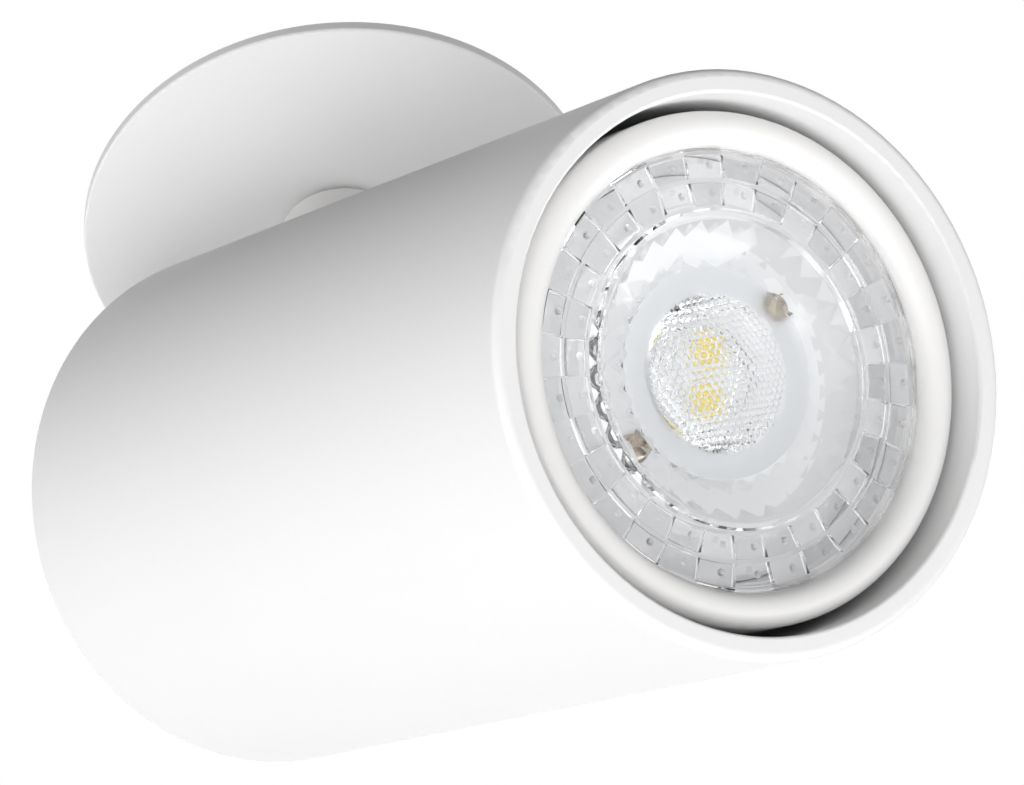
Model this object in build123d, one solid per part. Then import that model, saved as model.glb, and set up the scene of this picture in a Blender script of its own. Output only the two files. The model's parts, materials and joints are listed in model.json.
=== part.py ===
from build123d import *
import math
import os

os.makedirs("parts", exist_ok=True)

# Row frame: origin at the centre of the ceiling plate's back face, on the stem's swivel axis.
# +Z goes up into the ceiling, and the head points towards +X and down.

# Ceiling plate
PLATE_RADIUS = 29.0
PLATE_THICKNESS = 1.3
PLATE_EDGE_ROUND = 0.3

# Swivel stem
STEM_RADIUS = 7.0
STEM_SPIGOT_RADIUS = 5.0
STEM_BORE_RADIUS = 3.5
STEM_SHOULDER_GAP = 0.4
STEM_SPIGOT_LENGTH = 13.0
STEM_CHAMFER = 0.4
TONGUE_THICKNESS = 8.0
TONGUE_RADIUS = 7.0
TONGUE_REACH = 9.0
LEAD_HOLE_RADIUS = 2.8
LEAD_HOLE_RISE = 5.0
KEY_FLAT_DEPTH = 0.7
STEM_WASHER_INSET = 0.3

# Clearances
RUNNING_CLEARANCE = 0.08
KEY_CLEARANCE = 0.03
THREAD_CLEARANCE = 0.02
WASHER_CLEARANCE = 0.1
PRESS_CLEARANCE = 0.05

# Tilt pivot
PIVOT_DROP = 40.5
REST_TILT = 56.0
PIVOT_STANDOFF = 13.0
PIVOT_SCREW_RADIUS = 2.5
PIVOT_HEAD_RADIUS = 4.2
PIVOT_HEAD_HEIGHT = 3.0
PIVOT_HEAD_ROUND = 0.6
PIVOT_SOCKET_RADIUS = 1.7
PIVOT_SOCKET_DEPTH = 1.8
PIVOT_NUT_FLATS = 8.0
PIVOT_NUT_HEIGHT = 4.6
PIVOT_NUT_COLLAR_RADIUS = 3.6
PIVOT_NUT_COLLAR_HEIGHT = 1.15
PIVOT_END_LENGTH = 1.0
FRICTION_WASHER_RADIUS = 6.0
FRICTION_WASHER_THICKNESS = 0.5

# Head tube
LAMP_GAP = 1.1
TUBE_TAIL = 23.0
TUBE_WALL = 2.4
RIM_ROUND = 0.9
RIM_INNER_ROUND = 0.3
REAR_ROUND = 0.8
SLOT_CLEARANCE = 0.3
BOSS_RADIUS = 3.2
BOSS_INSET = 4.6
BOSS_WEB = 4.0

# Rear cap and the screws of the head
CAP_THICKNESS = 3.0
CAP_CLEARANCE = 0.1
CAP_EDGE_ROUND = 0.4
M3_RADIUS = 1.5
M3_HOLE_CLEARANCE = 0.05
M3_HEAD_RADIUS = 2.8
M3_HEAD_HEIGHT = 2.0
M3_HEAD_ROUND = 0.8
M3_SOCKET_RADIUS = 1.1
M3_SOCKET_DEPTH = 1.1
CAP_SCREW_SINK = 0.15
CAP_SCREW_LENGTH = 10.0
BRACKET_SCREW_LENGTH = 8.0

# Holder bracket
BRACKET_THICKNESS = 1.5
BRACKET_CLEARANCE = 0.3
EAR_THICKNESS = 1.5
EAR_RADIUS = 6.5
BRACKET_LEAD_HOLE_RADIUS = 3.5
BRACKET_VENT_WIDTH = 5.0
BRACKET_VENT_RADIUS = 17.5
BRACKET_VENT_ANGLE = 40.0
BRACKET_VENT_COUNT = 4

# Lampholder
HOLDER_LENGTH = 33.0
HOLDER_WIDTH = 18.0
HOLDER_BODY_HEIGHT = 9.0
HOLDER_COVER_HEIGHT = 3.0
HOLDER_FACE = 2.4
HOLDER_EDGE_ROUND = 0.8
HOLDER_SCREW_PITCH = 24.0
HOLDER_SCREW_END = 2.0
HOLDER_HEAD_CLEARANCE = 0.2
PIN_PITCH = 10.0
PIN_HEAD_RADIUS = 2.45
PIN_NECK_RADIUS = 1.6
PIN_TAIL_LENGTH = 2.0
PIN_LENGTH = 7.0
PIN_HEAD_LENGTH = 4.1
PIN_ENTRY_CLEARANCE = 0.3
PIN_NECK_CLEARANCE = 0.25
PIN_CAVITY_CLEARANCE = 0.4
PIN_ROUND = 0.5
LAMP_TWIST = 28.0
CONTACT_THICKNESS = 0.5
CONTACT_WIDTH = 3.4

# Reflector lamp
LAMP_RADIUS = 25.0
LAMP_FRONT_DEPTH = 2.0
LAMP_LENGTH = 48.2
LAMP_SEAT_GAP = 0.3
RIM_BEAD = 1.75
RIM_DEPTH = 6.0
SHELL_SHOULDER_DROP = 1.2
SHELL_SHOULDER_LENGTH = 4.5
SHELL_SHOULDER_SLOPE = 0.15
SHELL_NECK_SLOPE = 0.25
SHELL_THROAT_SLOPE = 0.2
SHELL_WALL = 1.6
NECK_RADIUS = 13.8
BASE_LENGTH = 12.2
BASE_STEP = 0.6
BASE_STEP_LENGTH = 2.0
BASE_CHAMFER = 1.0
BASE_SPIGOT_LENGTH = 4.0
BASE_SPIGOT_GAP = 0.5
BASE_FLOOR = 4.0
BASE_WALL = 2.0

# Lens of the lamp
LENS_CLEARANCE = 0.1
LENS_THICKNESS = 1.6
LENS_LEDGE = 0.7
LENS_EDGE = 0.4
FACET_COUNT = 30
FACET_LENGTH = 2.4
FACET_RING_GAP = 0.3
FACET_GAP = 0.3
FACET_DEPTH = 0.7
FACET_SHALLOW_DEPTH = 0.2
BOWL_LAND = 0.4
BOWL_FLOOR = 2.5
BOWL_DROP = 2.6
BOWL_WALL = 1.2
BOWL_FLUTE_DEPTH = 0.45
DOME_RADIUS = 7.7
DOME_HEIGHT = 1.1
CORE_FOOT_RADIUS = 5.6
CORE_FOOT_GAP = 0.3
LED_POCKET_RADIUS = 4.6
LED_POCKET_DEPTH = 0.9

# Chip board
BOARD_CLEARANCE = 0.1
BOARD_THICKNESS = 1.2
BOARD_GAP = 4.1
BOARD_LEDGE = 2.3
LED_SIZE = 3.0
LED_HEIGHT = 0.7
LED_PITCH = 4.5
LED_ANGLE = -16.0
BOARD_SCREW_PITCH_RADIUS = 11.5
BOARD_SCREW_ANGLE = 30.5
BOARD_SCREW_HEAD = 1.5
BOARD_SCREW_HEAD_HEIGHT = 1.2
BOARD_SCREW_ROUND = 0.5
BOARD_SCREW_SHANK = 0.8
BOARD_SCREW_END = 1.0

# Driver in the lamp's base
DRIVER_WIDTH = 17.0
DRIVER_LENGTH = 28.0
DRIVER_THICKNESS = 1.2
CAPACITOR_RADIUS = 3.2
CAPACITOR_LENGTH = 11.0
CAPACITOR_RISE = 13.0
CAPACITOR_OFFSET = 3.0
CHOKE_WIDTH = 6.0
CHOKE_LENGTH = 7.0
CHOKE_HEIGHT = 5.5
CHOKE_RISE = 18.0
CHOKE_OFFSET = -4.0
RECTIFIER_WIDTH = 7.0
RECTIFIER_LENGTH = 5.0
RECTIFIER_HEIGHT = 2.4
RECTIFIER_RISE = 17.0

# Recess housing behind the plate
COLLAR_RADIUS = 17.0
COLLAR_HEIGHT = 3.5
COLLAR_STEP = 0.2
HOUSING_HEIGHT = 6.5
HOUSING_WALL = 0.8
HOUSING_FLOOR = 1.2
HOUSING_ROUND = 0.5

# Clip bracket and spring clips
CLIP_SHEET = 1.2
CLIP_HUB_RADIUS = 10.2
CLIP_GAP = 9.2
CLIP_EAR_RADIUS = 2.4
CLIP_EAR_CLEARANCE = 0.75
CLIP_PIVOT_RISE = 13.3
CLIP_PIN_RADIUS = 1.4
CLIP_PIN_HEAD_RADIUS = 2.2
CLIP_PIN_HEAD_HEIGHT = 0.8
CLIP_REST_ANGLE = 25.0
ARM_SHEET = 0.8
ARM_LENGTH = 15.6
ARM_WIDTH = 8.6
ARM_WEB_START = 1.5
ARM_CHEEK_LENGTH = 9.0
ARM_CHEEK_RADIUS = 2.4
COIL_RADIUS = 1.85
COIL_WIRE_RADIUS = 0.45
COIL_TURNS = 5
COIL_GROOVE = 0.22
COIL_CREST = 0.27
COIL_LEG_INSET = 0.6
COIL_LEG_LENGTH = 9.0
COIL_SEAT_GAP = 0.3

# Parts clamped on the stem's spigot
DISC_SPRING_RADIUS = 7.8
DISC_SPRING_SHEET = 0.5
DISC_SPRING_HEIGHT = 0.8
STOP_WASHER_RADIUS = 7.6
STOP_WASHER_THICKNESS = 1.0
STOP_TAB_RADIUS = 10.0
STOP_TAB_WIDTH = 2.4
STOP_PIN_RADIUS = 1.0
STOP_PIN_PITCH_RADIUS = 8.9
STOP_PIN_TOP_GAP = 0.3
EARTH_TAG_THICKNESS = 0.5
EARTH_TAG_REACH = 9.2
EARTH_TAG_HEIGHT = 4.5
EARTH_TAG_WIDTH = 4.8
LOCK_NUT_FLATS = 14.0
LOCK_NUT_HEIGHT = 4.0
GROMMET_WALL = 0.9
GROMMET_FLANGE_RADIUS = 4.7
GROMMET_FLANGE_HEIGHT = 1.0
GROMMET_LENGTH = 5.0

# Heights of the stack on the stem, from the plate's face upwards
PLATE_FACE_Z = -PLATE_THICKNESS
SHOULDER_Z = PLATE_FACE_Z - STEM_SHOULDER_GAP
BRACKET_BASE_Z = HOUSING_FLOOR
DISC_SPRING_Z = BRACKET_BASE_Z + CLIP_SHEET
STOP_WASHER_Z = DISC_SPRING_Z + DISC_SPRING_HEIGHT
EARTH_TAG_Z = STOP_WASHER_Z + STOP_WASHER_THICKNESS
LOCK_NUT_Z = EARTH_TAG_Z + EARTH_TAG_THICKNESS
STEM_TOP_Z = SHOULDER_Z + STEM_SPIGOT_LENGTH
SWIVEL_HOLE_RADIUS = STEM_SPIGOT_RADIUS + RUNNING_CLEARANCE

# Radii of the head, outwards from the lamp
BORE_RADIUS = LAMP_RADIUS + LAMP_GAP
TUBE_RADIUS = BORE_RADIUS + TUBE_WALL
BOSS_PITCH_RADIUS = BORE_RADIUS - BOSS_INSET
SLOT_HALF_WIDTH = STEM_RADIUS + SLOT_CLEARANCE
BASE_RADIUS = NECK_RADIUS - BASE_STEP
NECK_BORE_RADIUS = NECK_RADIUS - SHELL_WALL
LENS_SEAT_RADIUS = LAMP_RADIUS - 2 * RIM_BEAD
LENS_RADIUS = LENS_SEAT_RADIUS - LENS_CLEARANCE
SHELL_BORE_RADIUS = LENS_SEAT_RADIUS - LENS_LEDGE
BOARD_RADIUS = SHELL_BORE_RADIUS - BOARD_CLEARANCE
OUTER_FACET_RADIUS = LENS_RADIUS - LENS_EDGE
INNER_FACET_RADIUS = OUTER_FACET_RADIUS - FACET_LENGTH - FACET_RING_GAP
BOWL_OUTER_RADIUS = INNER_FACET_RADIUS - FACET_LENGTH - BOWL_LAND
BOWL_INNER_RADIUS = DOME_RADIUS + BOWL_FLOOR

# Places along the head, as depths behind the tube's front rim
LENS_DEPTH = LAMP_FRONT_DEPTH + RIM_BEAD
LENS_BACK_DEPTH = LENS_DEPTH + LENS_THICKNESS
BOARD_DEPTH = LENS_BACK_DEPTH + BOARD_GAP
RIM_END_DEPTH = LAMP_FRONT_DEPTH + RIM_DEPTH
LAMP_BASE_DEPTH = LAMP_FRONT_DEPTH + LAMP_LENGTH
NECK_DEPTH = LAMP_BASE_DEPTH - BASE_LENGTH
HOLDER_DEPTH = LAMP_BASE_DEPTH + LAMP_SEAT_GAP
COVER_DEPTH = HOLDER_DEPTH + HOLDER_BODY_HEIGHT
BRACKET_DEPTH = COVER_DEPTH + HOLDER_COVER_HEIGHT
BOSS_FRONT_DEPTH = BRACKET_DEPTH + BRACKET_THICKNESS
PIVOT_DEPTH = BOSS_FRONT_DEPTH + PIVOT_STANDOFF
TUBE_LENGTH = PIVOT_DEPTH + TUBE_TAIL
CAP_DEPTH = TUBE_LENGTH - CAP_THICKNESS
PIVOT_Z = PLATE_FACE_Z - PIVOT_DROP
EAR_INNER_Y = TONGUE_THICKNESS / 2 + FRICTION_WASHER_THICKNESS
EAR_OUTER_Y = EAR_INNER_Y + EAR_THICKNESS
M3_HOLE_RADIUS = M3_RADIUS + M3_HOLE_CLEARANCE
CAP_SCREW_TOP = TUBE_LENGTH - CAP_SCREW_SINK
LOCK_ANGLE = 90 + LAMP_TWIST / 2

# Places of the spring clips, from the housing's bore
HOUSING_RADIUS = COLLAR_RADIUS - COLLAR_STEP
HOUSING_BORE_RADIUS = HOUSING_RADIUS - HOUSING_WALL
CLIP_EAR_OUT = CLIP_GAP / 2 + CLIP_SHEET
CLIP_REACH = math.sqrt((HOUSING_BORE_RADIUS - CLIP_EAR_CLEARANCE) ** 2 - CLIP_EAR_OUT ** 2)
CLIP_PIVOT_Y = CLIP_REACH - CLIP_EAR_RADIUS
CLIP_PIVOT_Z = BRACKET_BASE_Z + CLIP_PIVOT_RISE

# The head's own frame: x towards the head's back edge, y sideways, z backwards from the front rim.
TILT = math.radians(REST_TILT)
HEAD_AXIS = Vector(math.sin(TILT), 0, -math.cos(TILT))
HEAD_UP = Vector(math.cos(TILT), 0, math.sin(TILT))
HEAD_FRONT = Vector(0, 0, PIVOT_Z) + HEAD_AXIS * PIVOT_DEPTH
HEAD = Plane(origin=HEAD_FRONT, x_dir=HEAD_UP, z_dir=-HEAD_AXIS)


def turned(points):
    """Solid of revolution about Z from (radius, height) points."""
    outline = Polyline(*[(r, 0, z) for r, z in points], close=True)
    return revolve(make_face(outline), Axis.Z, 360)


def rod(radius, start, end, at=(0, 0)):
    """Upright round bar from height start to height end."""
    return Pos(at[0], at[1], (start + end) / 2) * Cylinder(radius, end - start)


def ring(outer, inner, start, end, at=(0, 0)):
    """Upright round bar with a hole."""
    return rod(outer, start, end, at) - rod(inner, start, end, at)


def block(x0, x1, y0, y1, z0, z1):
    """Box between two corners."""
    size = (x1 - x0, y1 - y0, z1 - z0)
    return Pos((x0 + x1) / 2, (y0 + y1) / 2, (z0 + z1) / 2) * Box(*size)


def cross_rod(radius, y0, y1, x=0, z=0):
    """Round bar along Y."""
    return Pos(x, (y0 + y1) / 2, z) * Rot(90, 0, 0) * Cylinder(radius, y1 - y0)


def hexagon(flats, start, end):
    """Upright hexagonal prism with chamfered corners, as on a nut."""
    prism = Pos(0, 0, start) * extrude(RegularPolygon(flats / 2, 6, major_radius=False), end - start)
    corner = flats / 2 / math.cos(math.radians(30))
    bevel = corner - flats / 2
    cone = turned([
        (0, start),
        (flats / 2, start),
        (corner, start + bevel),
        (corner, end - bevel),
        (flats / 2, end),
        (0, end),
    ])
    return prism & cone


def mirrored_pair(solid):
    """A piece and its mirror image across the XZ plane."""
    return [solid, mirror(solid, Plane.XZ)]


def write(solids, node):
    """Write one node's solids to its file."""
    if isinstance(solids, (list, tuple)):
        solids = Compound(children=list(solids))
    export_step(solids, f"parts/{node}.step")


def write_head(solids, node):
    """Place solids drawn in the head's frame and write them."""
    if isinstance(solids, (list, tuple)):
        write([HEAD.location * solid for solid in solids], node)
    else:
        write(HEAD.location * solids, node)


# Ceiling plate and what is fixed above it


def ceiling_plate():
    plate = rod(PLATE_RADIUS, PLATE_FACE_Z, 0)
    plate = fillet(plate.edges().group_by(Axis.Z)[0], PLATE_EDGE_ROUND)
    return plate - rod(SWIVEL_HOLE_RADIUS, PLATE_FACE_Z, 0)


def recess_housing():
    """Pressed cup with a wider locating collar that fits the hole in the ceiling."""
    inner = HOUSING_BORE_RADIUS
    cup = turned([
        (SWIVEL_HOLE_RADIUS, 0),
        (COLLAR_RADIUS, 0),
        (COLLAR_RADIUS, COLLAR_HEIGHT),
        (HOUSING_RADIUS, COLLAR_HEIGHT),
        (HOUSING_RADIUS, HOUSING_HEIGHT),
        (inner, HOUSING_HEIGHT),
        (inner, HOUSING_FLOOR),
        (SWIVEL_HOLE_RADIUS, HOUSING_FLOOR),
    ])
    floor_corner = cup.edges().filter_by(GeomType.CIRCLE).filter_by(
        lambda e: abs(e.radius - inner) < 0.01 and abs(e.center().Z - HOUSING_FLOOR) < 0.01
    )
    return fillet(floor_corner, HOUSING_ROUND)


def clip_ear(x0, x1):
    """One upstanding ear of the clip bracket at +Y, with its pin hole."""
    low_y = CLIP_PIVOT_Y - CLIP_EAR_RADIUS
    ear = block(x0, x1, low_y, CLIP_REACH, BRACKET_BASE_Z, CLIP_PIVOT_Z)
    ear += pin_bar(CLIP_EAR_RADIUS, x0, x1)
    return ear - pin_bar(CLIP_PIN_RADIUS + M3_HOLE_CLEARANCE, x0, x1)


def pin_bar(radius, x0, x1):
    """Round bar along X on the clip's hinge axis at +Y."""
    return Pos((x0 + x1) / 2, CLIP_PIVOT_Y, CLIP_PIVOT_Z) * Rot(0, 90, 0) * Cylinder(radius, x1 - x0)


def clip_bracket():
    """Folded sheet bracket: a strap under the stem's nut with two ears at each end."""
    inner = CLIP_GAP / 2
    outer = CLIP_EAR_OUT
    base = rod(CLIP_HUB_RADIUS, BRACKET_BASE_Z, DISC_SPRING_Z)
    base += block(-outer, outer, -CLIP_REACH, CLIP_REACH, BRACKET_BASE_Z, DISC_SPRING_Z)
    for x0, x1 in ((inner, outer), (-outer, -inner)):
        base += mirrored_pair(clip_ear(x0, x1))
    base -= rod(SWIVEL_HOLE_RADIUS, BRACKET_BASE_Z, DISC_SPRING_Z)
    return base - rod(STOP_PIN_RADIUS, BRACKET_BASE_Z, DISC_SPRING_Z, (STOP_PIN_PITCH_RADIUS, 0))


def clip_pins():
    """Riveted hinge pins of the two spring clips."""
    outer = CLIP_EAR_OUT
    pin = pin_bar(CLIP_PIN_RADIUS, -outer, outer)
    pin += pin_bar(CLIP_PIN_HEAD_RADIUS, outer, outer + CLIP_PIN_HEAD_HEIGHT)
    pin += pin_bar(CLIP_PIN_HEAD_RADIUS, -outer - CLIP_PIN_HEAD_HEIGHT, -outer)
    return mirrored_pair(pin)


def cheek_bar(radius):
    """Round bar through one cheek of the clip arm on its hinge axis."""
    return Pos(ARM_SHEET / 2, 0, 0) * Rot(0, 90, 0) * Cylinder(radius, ARM_SHEET)


def clip_arm():
    """Spring clip arm at +Y: a channel whose cheeks turn on the pin and whose web grips the ceiling."""
    web_offset = COIL_RADIUS + COIL_WIRE_RADIUS + COIL_SEAT_GAP
    half = ARM_WIDTH / 2
    tip = Pos(0, ARM_LENGTH - half, -web_offset - ARM_SHEET / 2) * Cylinder(half, ARM_SHEET)
    web = block(-half, half, ARM_WEB_START, ARM_LENGTH - half, -web_offset - ARM_SHEET, -web_offset)
    arm = web + tip
    side = make_face(Polyline(
        (0, 0, ARM_CHEEK_RADIUS),
        (0, ARM_CHEEK_LENGTH, -web_offset),
        (0, ARM_CHEEK_LENGTH, -web_offset - ARM_SHEET),
        (0, ARM_WEB_START, -web_offset - ARM_SHEET),
        (0, -ARM_CHEEK_RADIUS, 0),
        close=True,
    ))
    cheek = extrude(side, ARM_SHEET, dir=(1, 0, 0))
    cheek += cheek_bar(ARM_CHEEK_RADIUS)
    cheek -= cheek_bar(CLIP_PIN_RADIUS + RUNNING_CLEARANCE)
    arm += Pos(half - ARM_SHEET, 0, 0) * cheek
    arm += Pos(-half, 0, 0) * cheek
    return Pos(0, CLIP_PIVOT_Y, CLIP_PIVOT_Z) * Rot(-CLIP_REST_ANGLE, 0, 0) * arm


def clip_spring():
    """Torsion spring at +Y: a close-wound coil with one leg on the arm's web and one on the strap."""
    pitch = 2 * COIL_WIRE_RADIUS
    half = COIL_TURNS * pitch / 2
    outer = COIL_RADIUS + COIL_WIRE_RADIUS
    inner = CLIP_PIN_RADIUS + THREAD_CLEARANCE
    points = [(inner, -half)]
    for turn in range(COIL_TURNS):
        low = -half + turn * pitch
        points.append((outer - COIL_GROOVE, low))
        points.append((outer, low + COIL_CREST))
        points.append((outer, low + pitch - COIL_CREST))
    points.append((outer - COIL_GROOVE, half))
    points.append((inner, half))
    coil = Rot(0, 90, 0) * turned(points)
    leg_x = half - COIL_LEG_INSET
    arm_leg = Pos(leg_x, COIL_LEG_LENGTH / 2, -COIL_RADIUS) * Rot(90, 0, 0)
    spring = coil + arm_leg * Cylinder(COIL_WIRE_RADIUS, COIL_LEG_LENGTH)
    spring = Pos(0, CLIP_PIVOT_Y, CLIP_PIVOT_Z) * Rot(-CLIP_REST_ANGLE, 0, 0) * spring
    return spring + rod(COIL_WIRE_RADIUS, DISC_SPRING_Z, CLIP_PIVOT_Z, (-leg_x, CLIP_PIVOT_Y - COIL_RADIUS))


# Parts of the swivel


def stem_washer():
    outer = STEM_RADIUS - STEM_CHAMFER - STEM_WASHER_INSET
    return ring(outer, STEM_SPIGOT_RADIUS + WASHER_CLEARANCE, SHOULDER_Z, PLATE_FACE_Z)


def disc_spring():
    """Dished spring washer that gives the swivel its friction."""
    inner = STEM_SPIGOT_RADIUS + 2 * WASHER_CLEARANCE
    rise = DISC_SPRING_HEIGHT - DISC_SPRING_SHEET
    return turned([
        (inner, DISC_SPRING_Z + rise),
        (DISC_SPRING_RADIUS, DISC_SPRING_Z),
        (DISC_SPRING_RADIUS, DISC_SPRING_Z + DISC_SPRING_SHEET),
        (inner, DISC_SPRING_Z + DISC_SPRING_HEIGHT),
    ])


def stop_pin():
    top = EARTH_TAG_Z - STOP_PIN_TOP_GAP
    return rod(STOP_PIN_RADIUS, BRACKET_BASE_Z, top, (STOP_PIN_PITCH_RADIUS, 0))


def stop_washer():
    """Washer keyed to the stem, whose tab meets the stop pin at each end of the turn."""
    top = STOP_WASHER_Z + STOP_WASHER_THICKNESS
    half = STOP_TAB_WIDTH / 2
    washer = rod(STOP_WASHER_RADIUS, STOP_WASHER_Z, top)
    washer += block(-STOP_TAB_RADIUS, 0, -half, half, STOP_WASHER_Z, top)
    return washer - spigot_section(STOP_WASHER_Z, top, KEY_CLEARANCE)


def spigot_section(start, end, clearance):
    """The stem's threaded end with its key flat."""
    bar = rod(STEM_SPIGOT_RADIUS + clearance, start, end)
    flat_x = STEM_SPIGOT_RADIUS - KEY_FLAT_DEPTH + clearance
    return bar - block(flat_x, STEM_SPIGOT_RADIUS * 2, -STEM_RADIUS, STEM_RADIUS, start, end)


def earth_tag():
    """Earth terminal clamped under the nut, with its tab bent up."""
    top = EARTH_TAG_Z + EARTH_TAG_THICKNESS
    half = EARTH_TAG_WIDTH / 2
    tag = rod(STOP_WASHER_RADIUS, EARTH_TAG_Z, top)
    tag += block(-EARTH_TAG_REACH, 0, -half, half, EARTH_TAG_Z, top)
    upright = -EARTH_TAG_REACH + EARTH_TAG_THICKNESS
    tag += block(-EARTH_TAG_REACH, upright, -half, half, EARTH_TAG_Z, EARTH_TAG_Z + EARTH_TAG_HEIGHT)
    return tag - rod(STEM_SPIGOT_RADIUS + WASHER_CLEARANCE, EARTH_TAG_Z, top)


def lock_nut():
    top = LOCK_NUT_Z + LOCK_NUT_HEIGHT
    nut = hexagon(LOCK_NUT_FLATS, LOCK_NUT_Z, top)
    return nut - rod(STEM_SPIGOT_RADIUS + THREAD_CLEARANCE, LOCK_NUT_Z, top)


def swivel_stem():
    """Hollow turned stem: threaded end up through the plate, round neck, and a flat tongue at the pivot."""
    neck_end = PIVOT_Z + TONGUE_REACH
    stem = turned([
        (0, neck_end),
        (STEM_RADIUS, neck_end),
        (STEM_RADIUS, SHOULDER_Z - STEM_CHAMFER),
        (STEM_RADIUS - STEM_CHAMFER, SHOULDER_Z),
        (0, SHOULDER_Z),
    ])
    stem += spigot_section(SHOULDER_Z, STEM_TOP_Z, 0) - rod(STEM_SPIGOT_RADIUS * 2, SHOULDER_Z, STOP_WASHER_Z)
    stem += rod(STEM_SPIGOT_RADIUS, SHOULDER_Z, STOP_WASHER_Z)
    half = TONGUE_THICKNESS / 2
    tongue = block(-TONGUE_RADIUS, TONGUE_RADIUS, -half, half, PIVOT_Z, neck_end)
    tongue += cross_rod(TONGUE_RADIUS, -half, half, 0, PIVOT_Z)
    stem += tongue
    stem -= cross_rod(PIVOT_SCREW_RADIUS + RUNNING_CLEARANCE, -half, half, 0, PIVOT_Z)
    lead_z = neck_end + LEAD_HOLE_RISE
    stem -= rod(STEM_BORE_RADIUS, lead_z, STEM_TOP_Z)
    return stem - Pos(0, 0, lead_z) * Rot(0, 90, 0) * Cylinder(LEAD_HOLE_RADIUS, 3 * STEM_RADIUS)


def stem_grommet():
    """Rubber bush that guards the leads at the stem's top end."""
    outer = STEM_BORE_RADIUS - PRESS_CLEARANCE
    return turned([
        (outer - GROMMET_WALL, STEM_TOP_Z - GROMMET_LENGTH),
        (outer, STEM_TOP_Z - GROMMET_LENGTH),
        (outer, STEM_TOP_Z),
        (GROMMET_FLANGE_RADIUS, STEM_TOP_Z),
        (GROMMET_FLANGE_RADIUS, STEM_TOP_Z + GROMMET_FLANGE_HEIGHT),
        (outer - GROMMET_WALL, STEM_TOP_Z + GROMMET_FLANGE_HEIGHT),
    ])


# Parts of the head, drawn in the head's frame


def swing_slot(start, end):
    """The space the stem sweeps, between two depths of the head."""
    return block(0, 2 * TUBE_RADIUS, -SLOT_HALF_WIDTH, SLOT_HALF_WIDTH, start, end)


def end_circles(solid, end):
    """Circles at one end of an upright round solid, smallest first. End 0 is the lowest, -1 the highest."""
    return solid.edges().filter_by(GeomType.CIRCLE).group_by(Axis.Z)[end].sort_by(SortBy.RADIUS)


def head_tube():
    """Cast tube with two screw bosses and the slot that lets the stem swing."""
    tube = ring(TUBE_RADIUS, BORE_RADIUS, 0, TUBE_LENGTH)
    tube = fillet(end_circles(tube, 0)[-1], RIM_ROUND)
    tube = fillet(end_circles(tube, 0)[0], RIM_INNER_ROUND)
    tube = fillet(end_circles(tube, -1)[-1], REAR_ROUND)
    wall_middle = TUBE_RADIUS - TUBE_WALL / 2
    for side in (-1, 1):
        boss = rod(BOSS_RADIUS, BOSS_FRONT_DEPTH, CAP_DEPTH, (0, side * BOSS_PITCH_RADIUS))
        near, far = sorted((side * BOSS_PITCH_RADIUS, side * wall_middle))
        boss += block(-BOSS_WEB / 2, BOSS_WEB / 2, near, far, BOSS_FRONT_DEPTH, CAP_DEPTH)
        tube += boss
        tube -= rod(M3_HOLE_RADIUS, BOSS_FRONT_DEPTH, CAP_DEPTH, (0, side * BOSS_PITCH_RADIUS))
    tube -= swing_slot(PIVOT_DEPTH, TUBE_LENGTH)
    round_end = Pos(TUBE_RADIUS, 0, PIVOT_DEPTH) * Rot(0, 90, 0) * Cylinder(SLOT_HALF_WIDTH, TUBE_RADIUS)
    return tube - round_end


def rear_cap():
    """Round cap inside the tube's rear end, slotted to its middle for the stem."""
    cap = rod(BORE_RADIUS - CAP_CLEARANCE, CAP_DEPTH, TUBE_LENGTH)
    cap = fillet(cap.edges().group_by(Axis.Z)[-1], CAP_EDGE_ROUND)
    cap -= swing_slot(CAP_DEPTH, TUBE_LENGTH)
    cap -= rod(SLOT_HALF_WIDTH, CAP_DEPTH, TUBE_LENGTH)
    for side in (-1, 1):
        hole = countersunk(M3_HOLE_CLEARANCE, CAP_DEPTH)
        hole += rod(M3_HEAD_RADIUS + M3_HOLE_CLEARANCE, CAP_SCREW_TOP, TUBE_LENGTH)
        cap -= Pos(0, side * BOSS_PITCH_RADIUS, 0) * hole
    return cap


def countersunk(clearance, tip):
    """Countersunk M3 screw shape from its tip to the top of its head, grown by a clearance."""
    shank = M3_RADIUS + clearance
    head = M3_HEAD_RADIUS + clearance
    cone_start = CAP_SCREW_TOP - (head - shank)
    return turned([(0, tip), (shank, tip), (shank, cone_start), (head, CAP_SCREW_TOP), (0, CAP_SCREW_TOP)])


def cap_screws():
    """Countersunk screws of the rear cap, with hexagon sockets."""
    screw = countersunk(0, TUBE_LENGTH - CAP_SCREW_LENGTH)
    socket = extrude(RegularPolygon(M3_SOCKET_RADIUS, 6), M3_SOCKET_DEPTH)
    screw -= Pos(0, 0, CAP_SCREW_TOP - M3_SOCKET_DEPTH) * socket
    screw = Pos(0, BOSS_PITCH_RADIUS, 0) * screw
    return mirrored_pair(screw)


def bracket_ear():
    """Ear of the holder bracket at +Y, which carries the pivot screw."""
    ear = block(-EAR_RADIUS, EAR_RADIUS, EAR_INNER_Y, EAR_OUTER_Y, BOSS_FRONT_DEPTH, PIVOT_DEPTH)
    ear += cross_rod(EAR_RADIUS, EAR_INNER_Y, EAR_OUTER_Y, 0, PIVOT_DEPTH)
    return ear - cross_rod(PIVOT_SCREW_RADIUS + M3_HOLE_CLEARANCE, EAR_INNER_Y, EAR_OUTER_Y, 0, PIVOT_DEPTH)


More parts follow.
